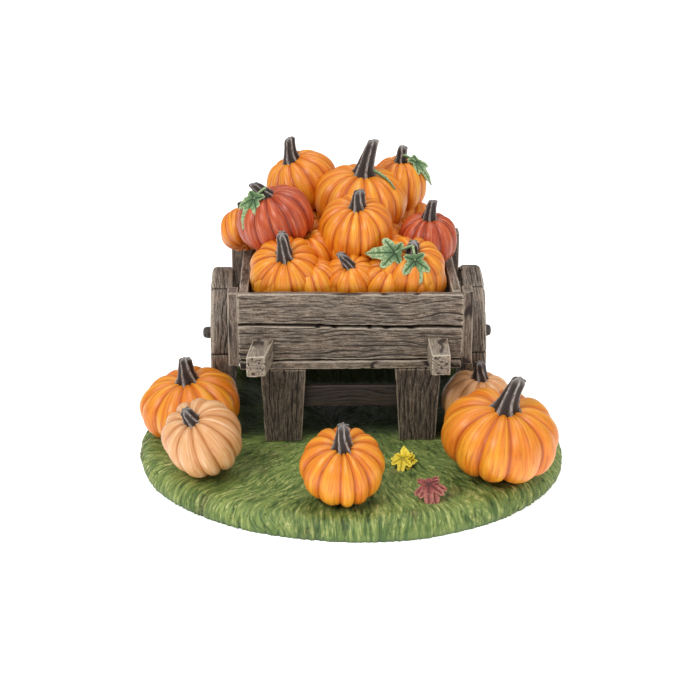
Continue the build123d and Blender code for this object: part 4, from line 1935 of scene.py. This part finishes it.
@dataclass(frozen=True)
class GrassBase:
    """The grassy base: a low oval mound combed into overlapping blades.

    Args:
        around: points round the oval.
        top_rings: rings over its top.
        rim_rings: rings down its edge.
        blade_count: blades of grass.
        rim: how far in from the edge the top starts to fall.
        comb: distance from the middle where the painted strokes are one unit wide.
        seed: picks where the blades lie.
    """

    around: int = 820
    top_rings: int = 104
    rim_rings: int = 17
    blade_count: int = 8600
    rim: float = 3.6
    comb: float = 40.0
    seed: int = 5

    def _outline(self, angle: Array) -> Array:
        """Distance from the middle to the edge.

        Args:
            angle: directions in radians.

        Returns:
            Distances in millimetres.
        """
        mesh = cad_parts["grass_base"].data
        spots = np.array([vertex.co for vertex in mesh.vertices]) / MM
        spots = spots[spots[:, 2] < 0.01, :2] - self.middle()[:2]
        turn = np.arctan2(spots[:, 1], spots[:, 0])
        reach = np.hypot(spots[:, 0], spots[:, 1])
        edge = reach > 30
        order = np.argsort(turn[edge])
        turn, reach = turn[edge][order], reach[edge][order]
        turn = np.concatenate([turn - 2 * math.pi, turn, turn + 2 * math.pi])
        return np.interp((angle + math.pi) % (2 * math.pi) - math.pi, turn, np.tile(reach, 3))

    def middle(self) -> Array:
        """Middle of the base in plan, at table height.

        Returns:
            The position in millimetres.
        """
        low, high = millimetre_box("grass_base")
        middle = (low + high) / 2
        middle[2] = low[2]
        return middle

    def _surface(self) -> tuple[Array, Array, Array, Array]:
        """The smooth surface before it is combed.

        Returns:
            Positions, outward directions, unrolled plan positions and height shares, by ring.
        """
        _, high = millimetre_box("grass_base")
        height = high[2]
        angle = np.linspace(0, 2 * math.pi, self.around, endpoint=False)
        edge = self._outline(angle)[None, :]
        inner = edge - self.rim
        out = np.linspace(0.0, 1.0, self.top_rings)[1:, None] ** 0.86
        flat = inner * out
        turn = np.linspace(0, math.pi / 2, self.rim_rings)[1:, None]
        fall = self.rim * np.sin(turn) ** 0.9
        top_reach = np.concatenate([flat, inner + fall])
        drop = (height - 1.1) * (1 - np.cos(turn)) ** 0.95 + 0 * edge
        top_height = np.concatenate([np.full_like(flat, height), height - drop])
        unrolled = np.concatenate([flat, inner + self.rim * 1.35 * turn / (math.pi / 2)])
        cos, sin = np.cos(angle)[None, :], np.sin(angle)[None, :]
        points = np.stack([top_reach * cos, top_reach * sin, top_height + 0 * cos], axis=-1)
        tilt = np.concatenate([np.zeros(len(flat)), turn[:, 0]])[:, None]
        normal = np.stack(
            [np.sin(tilt) * cos, np.sin(tilt) * sin, np.cos(tilt) + 0 * cos], axis=-1
        )
        plan = np.stack([unrolled * cos, unrolled * sin], axis=-1)
        return points, normal, plan, top_height / height + 0 * cos

    def _knolls(self, plan: Array) -> Array:
        """Extra height of the knolls under the pumpkins that sit higher.

        Args:
            plan: plan positions from the middle.

        Returns:
            Heights in millimetres.
        """
        _, high = millimetre_box("grass_base")
        extra = np.zeros(plan.shape[:-1])
        for node in ("left_knoll", "right_knoll"):
            knoll_low, knoll_high = millimetre_box(node)
            centre = (knoll_low + knoll_high)[:2] / 2 - self.middle()[:2]
            foot = (knoll_high[0] - knoll_low[0]) / 2
            distance = np.linalg.norm(plan - centre, axis=-1)
            rise = knoll_high[2] - high[2] - 0.2
            extra = np.maximum(extra, rise * ease(1.45 - distance / foot))
        return extra

    def _painted_shade_below_cart(self, spots: Array) -> Array:
        """Where the cart stands over the grass, which is darkened there with painted shade.

        Args:
            spots: plan positions in millimetres.

        Returns:
            1 well below the cart to 0 outside it.
        """
        left_low, _ = millimetre_box("left_rail")
        _, right_high = millimetre_box("right_rail")
        sill_low, _ = millimetre_box("front_sill")
        _, rear_high = millimetre_box("rear_sill")
        across, along = spots[..., 0], spots[..., 1]
        beside = np.minimum(across - left_low[0], right_high[0] - across) + 3.0
        behind = np.minimum((along - sill_low[1]) * 0.45 - 0.5, rear_high[1] - along + 2.0)
        return ease(np.minimum(beside, behind) / 3.2)

    def _bank(self, spots: Array) -> Array:
        """A low bank of grass behind the wheels.

        Args:
            spots: plan positions in millimetres.

        Returns:
            Extra height in millimetres.
        """
        _, wheel_high = millimetre_box("right_wheel_felloes")
        behind = ease((spots[..., 1] - wheel_high[1] + 8.0) / 4.0)
        beside = ease((wheel_high[0] - np.abs(spots[..., 0])) / 4.0)
        return 3.3 * behind * beside

    def _comb(self, plan: Array) -> tuple[Array, Array]:
        """Lay the blades over each other.

        Args:
            plan: unrolled plan positions by ring.

        Returns:
            Height of the blades and a random shade for each.
        """
        rng = np.random.default_rng(self.seed)
        flat = plan.reshape(-1, 2)
        height = np.zeros(len(flat))
        crest = np.full(len(flat), 0.12)
        shade = np.full(len(flat), 0.3)
        reach_most = float(np.linalg.norm(flat, axis=1).max())
        lean = Noise(self.seed)
        cell = 2.0
        keys = np.floor(flat / cell).astype(int)
        order = np.lexsort((keys[:, 1], keys[:, 0]))
        buckets: dict[tuple[int, int], Array] = {}
        ordered = keys[order]
        breaks = np.flatnonzero(np.any(np.diff(ordered, axis=0) != 0, axis=1)) + 1
        for group in np.split(order, breaks):
            buckets[tuple(keys[group[0]])] = group
        for _ in range(self.blade_count):
            reach = reach_most * math.sqrt(rng.uniform(0, 1))
            turn = rng.uniform(0, 2 * math.pi)
            root = np.array([reach * math.cos(turn), reach * math.sin(turn)])
            rim_share = float(ease(np.array((reach - 26) / 14)))
            wander = float(lean.at(root[0] / 9, root[1] / 9, 0.5)) * 2.6
            heading = turn + wander * (1 - 0.86 * rim_share) + rng.normal(0, 0.16)
            length = rng.uniform(3.8, 7.6)
            width = rng.uniform(0.30, 0.52)
            tall = rng.uniform(0.26, 0.60)
            way = np.array([math.cos(heading), math.sin(heading)])
            bow = rng.normal(0, 0.09)
            low = np.floor((np.minimum(root, root + way * length) - 1) / cell).astype(int)
            high = np.floor((np.maximum(root, root + way * length) + 1) / cell).astype(int)
            near = [
                buckets[(i, j)]
                for i in range(low[0], high[0] + 1)
                for j in range(low[1], high[1] + 1)
                if (i, j) in buckets
            ]
            if not near:
                continue
            chosen = np.concatenate(near)
            offset = flat[chosen] - root
            along = (offset @ way) / length
            across = offset @ np.array([-way[1], way[0]]) - bow * length * along * along
            foot, tip = np.clip(along + 0.05, 0, None), np.clip(1 - along, 0, None)
            wide = width * foot ** 0.35 * tip ** 0.55 * 1.35
            inside = (along > 0) & (along < 1) & (np.abs(across) < wide)
            chosen, along = chosen[inside], along[inside]
            round_part = 1 - (across[inside] / wide[inside]) ** 2
            rise = tall * (0.25 + 0.75 * along) * np.sqrt(round_part)
            better = rise > height[chosen]
            spot = chosen[better]
            height[spot] = rise[better]
            crest[spot] = round_part[better] * (0.45 + 0.55 * along[better])
            shade[spot] = rng.uniform(0, 1)
        return (
            height.reshape(plan.shape[:-1]),
            crest.reshape(plan.shape[:-1]),
            shade.reshape(plan.shape[:-1]),
        )

    def build(self) -> None:
        """Comb the base and let it ride on its body."""
        points, normal, plan, rise = self._surface()
        blades, crest, shade = self._comb(plan)
        middle = self.middle()
        # painted shade under the cart, on the top of the base only
        shaded_under_cart = self._painted_shade_below_cart(plan + middle[:2]) * ease((rise - 0.80) / 0.16)
        swell = Noise(self.seed + 3).at(plan[..., 0] / 12, plan[..., 1] / 12, 0.2) * 0.25
        calm = ease((np.linalg.norm(plan, axis=-1)) / 3.0)
        lift = blades - 0.30 + swell * calm
        points = points + normal * lift[..., None]
        points[..., 2] += self._knolls(plan) + self._bank(plan + middle[:2])
        points[..., 2] = np.maximum(points[..., 2], 0.35)
        foot = points[-1].copy()
        foot[:, 2] = 0.0
        foot[:, :2] *= 0.992
        rings = np.concatenate([points, foot[None]]) + middle
        reach = np.linalg.norm(plan, axis=-1)
        drift = Noise(self.seed + 8).at(plan[..., 0] / 10, plan[..., 1] / 10, 0.7) * 0.09
        turn = np.arctan2(plan[..., 1], plan[..., 0]) + drift
        flow = np.stack([self.comb * np.cos(turn), self.comb * np.sin(turn), reach], axis=-1)
        flow = np.concatenate([flow, flow[-1:]])
        marks = {
            "blade": np.concatenate([crest, crest[-1:] * 0.2]),
            "shade": np.concatenate([shade, shade[-1:]]),
            "rise": np.concatenate([rise, rise[-1:] * 0]),
            "shaded_under_cart": np.concatenate([shaded_under_cart, shaded_under_cart[-1:]]),
        }
        marks = {name: mark[::-1] for name, mark in marks.items()}
        shell = tube_shell(rings[::-1], marks, flow[::-1])
        knolls = ("left_knoll", "right_knoll")
        settle(shell, "grass_base", "base", GRASS, also=knolls)


@dataclass(frozen=True)
class Ground:
    """The base with the pumpkins and leaves that lie on it.

    Args:
        leaf_tilt: how far the fallen leaves lean towards the front.
    """

    leaf_tilt: float = 0.85

    def pumpkins(self) -> list[Pumpkin]:
        """The pumpkins on the grass, read from their nodes.

        Returns:
            One pumpkin for each node.
        """
        rows = [
            ("left_big_pumpkin", 0.3, 11.9, 7.3, (-0.10, -0.12), 12, Skin.ORANGE, 5.8, (0.4, -0.3)),
            ("left_pale_pumpkin", 0.0, 8.8, 7.9, (-0.34, -0.60), 11, Skin.PEACH, 2.9, (-0.4, 0.8)),
            ("front_pumpkin", 0.1, 9.4, 6.9, (0.0, -0.45), 12, Skin.ORANGE, 4.9, (0.2, 1.6)),
            ("right_big_pumpkin", 0.6, 13.2, 8.4, (0.10, -0.25), 10, Skin.ORANGE, 7.2, (2.2, 1.0)),
            ("right_pale_pumpkin", 0.0, 8.3, 6.6, (0.10, -0.10), 10, Skin.PEACH, 4.2, (-0.6, 0.0)),
        ]
        made = []
        for index, (node, sink, *rest) in enumerate(rows):
            low, high = millimetre_box(node)
            middle = tuple(float(value) for value in (low + high) / 2 - np.array([0, 0, sink]))
            made.append(Pumpkin(node, middle, *rest, seed=411 + 17 * index))
        return made

    def build(self) -> None:
        """Make everything that belongs to the base."""
        GrassBase().build()
        pumpkins = self.pumpkins()
        for pumpkin in pumpkins:
            pumpkin.build("base")
        stems = Shell.joined([pumpkin.stem() for pumpkin in pumpkins])
        settle(stems, "ground_stems", "base", STEM)
        self.fallen("yellow_leaf", YELLOW_LEAF, 4, 91, 1.15, 1.15, 1.5)
        self.fallen("red_leaf", RED_LEAF, 2, 97, 1.55, 1.45, 2.7)

    def fallen(
        self,
        node: str,
        finish: RibbedSkin,
        count: int,
        seed: int,
        spread: float,
        fingers: float,
        lift: float,
    ) -> None:
        """A little cluster of fallen leaves.

        Args:
            node: the node that it replaces.
            finish: its paint.
            count: leaves in the cluster.
            seed: picks how they lie.
            spread: size of each leaf, as a share of half the node's width.
            fingers: how deep the gaps between their lobes are.
            lift: height of their bases above the node's middle.
        """
        low, high = millimetre_box(node)
        middle = (low + high) / 2
        size = (high[0] - low[0]) / 2
        rng = np.random.default_rng(seed)
        shells = []
        for i in range(count):
            step = 2 * i / count if count > 2 else 0.14 * i
            turn = math.pi * (1.47 + step) + rng.uniform(-0.2, 0.2)
            up = np.array([0.30 * math.cos(turn), -self.leaf_tilt, 0.9])
            away = np.array([math.cos(turn), 0.5 * math.sin(turn), 1.1 * math.sin(turn)])
            spot = middle + np.array([0.3 * i, 0.25 * i, lift]) - away * size * 0.12
            leaf = Leaf(spot, up, away, size * spread, 0.95, 11.0, seed + i, fingers)
            shells.append(leaf.shell())
        settle(Shell.joined(shells), node, "base", finish)


# --------------------------------------------------------------------------- studio


@dataclass(frozen=True)
class Studio:
    """Pale floor, soft light and the camera.

    Args:
        elevation: camera height in degrees.
        azimuth: camera turn in degrees.
        distance: camera to its aim, in millimetres.
        aim: what the camera looks at, in millimetres.
        lens: focal length on a 36 mm sensor.
        surround: strength of the light from all round.
    """

    elevation: float = 20.0
    azimuth: float = -1.5
    distance: float = 385.2
    aim: tuple[float, float, float] = (-0.05, 0.0, 26.3)
    lens: float = 87.4
    surround: float = 0.44

    def build(self) -> None:
        """Set up the studio."""
        self.floor()
        self.lights()
        self.camera()

    def floor(self) -> None:
        """A large pale floor."""
        book = PaintBook("studio_floor")
        shader = book.node(
            "ShaderNodeBsdfPrincipled",
            {},
            {"Base Color": (0.90, 0.90, 0.90, 1.0), "Roughness": 0.9,
             "Emission Color": (1.0, 1.0, 1.0, 1.0), "Emission Strength": 0.62},
        )
        book.node("ShaderNodeOutputMaterial", {}, {"Surface": shader.outputs[0]})
        half = 3.0
        mesh = bpy.data.meshes.new("studio_floor")
        corners = [(-half, -half, 0), (half, -half, 0), (half, half, 0), (-half, half, 0)]
        mesh.from_pydata(corners, [], [(0, 1, 2, 3)])
        mesh.materials.append(book.material)
        floor = bpy.data.objects.new("studio_floor", mesh)
        bpy.context.scene.collection.objects.link(floor)

    def lights(self) -> None:
        """A bright surround, a large key from the upper left and two fills."""
        world = bpy.data.worlds.new("studio_world")
        world.use_nodes = True
        background = world.node_tree.nodes["Background"]
        background.inputs["Color"].default_value = (1.0, 1.0, 1.0, 1.0)
        seen = world.node_tree.nodes.new("ShaderNodeLightPath")
        strength = world.node_tree.nodes.new("ShaderNodeMapRange")
        strength.inputs["To Min"].default_value = self.surround
        strength.inputs["To Max"].default_value = 1.0
        world.node_tree.links.new(seen.outputs["Is Camera Ray"], strength.inputs["Value"])
        world.node_tree.links.new(strength.outputs["Result"], background.inputs["Strength"])
        bpy.context.scene.world = world
        for name, place, size, power in (
            ("key", (-0.30, -0.42, 0.52), 0.24, 2.35),
            ("fill", (0.42, -0.34, 0.34), 0.30, 0.60),
            ("top", (0.02, 0.10, 0.62), 0.36, 1.30),
        ):
            data = bpy.data.lights.new(name, "AREA")
            data.size = size
            data.energy = power
            lamp = bpy.data.objects.new(name, data)
            lamp.location = place
            way = Vector((0, 0, 0.03)) - Vector(place)
            lamp.rotation_euler = way.to_track_quat("-Z", "Y").to_euler()
            bpy.context.scene.collection.objects.link(lamp)

    def camera(self) -> None:
        """Place the camera."""
        turn, height = math.radians(self.azimuth), math.radians(self.elevation)
        level = math.cos(height)
        back = Vector((math.sin(turn) * level, -math.cos(turn) * level, math.sin(height)))
        aim = Vector(self.aim) * MM
        data = bpy.data.cameras.new("camera")
        data.lens = self.lens
        data.sensor_width = 36.0
        data.clip_start = 0.01
        camera = bpy.data.objects.new("camera", data)
        camera.location = aim + back * self.distance * MM
        camera.rotation_euler = (-back).to_track_quat("-Z", "Y").to_euler()
        bpy.context.scene.collection.objects.link(camera)
        bpy.context.scene.camera = camera
        bpy.context.scene.view_settings.view_transform = "Standard"


def main() -> None:
    """Build everything in order."""
    logging.basicConfig(level=logging.INFO, format="%(message)s")
    Ground().build()
    Cart().build()
    for side in (-1, 1):
        Wheel(side).build()
    Heap(Bed.read()).build()
    Studio().build()


if __name__ == "__main__":
    main()
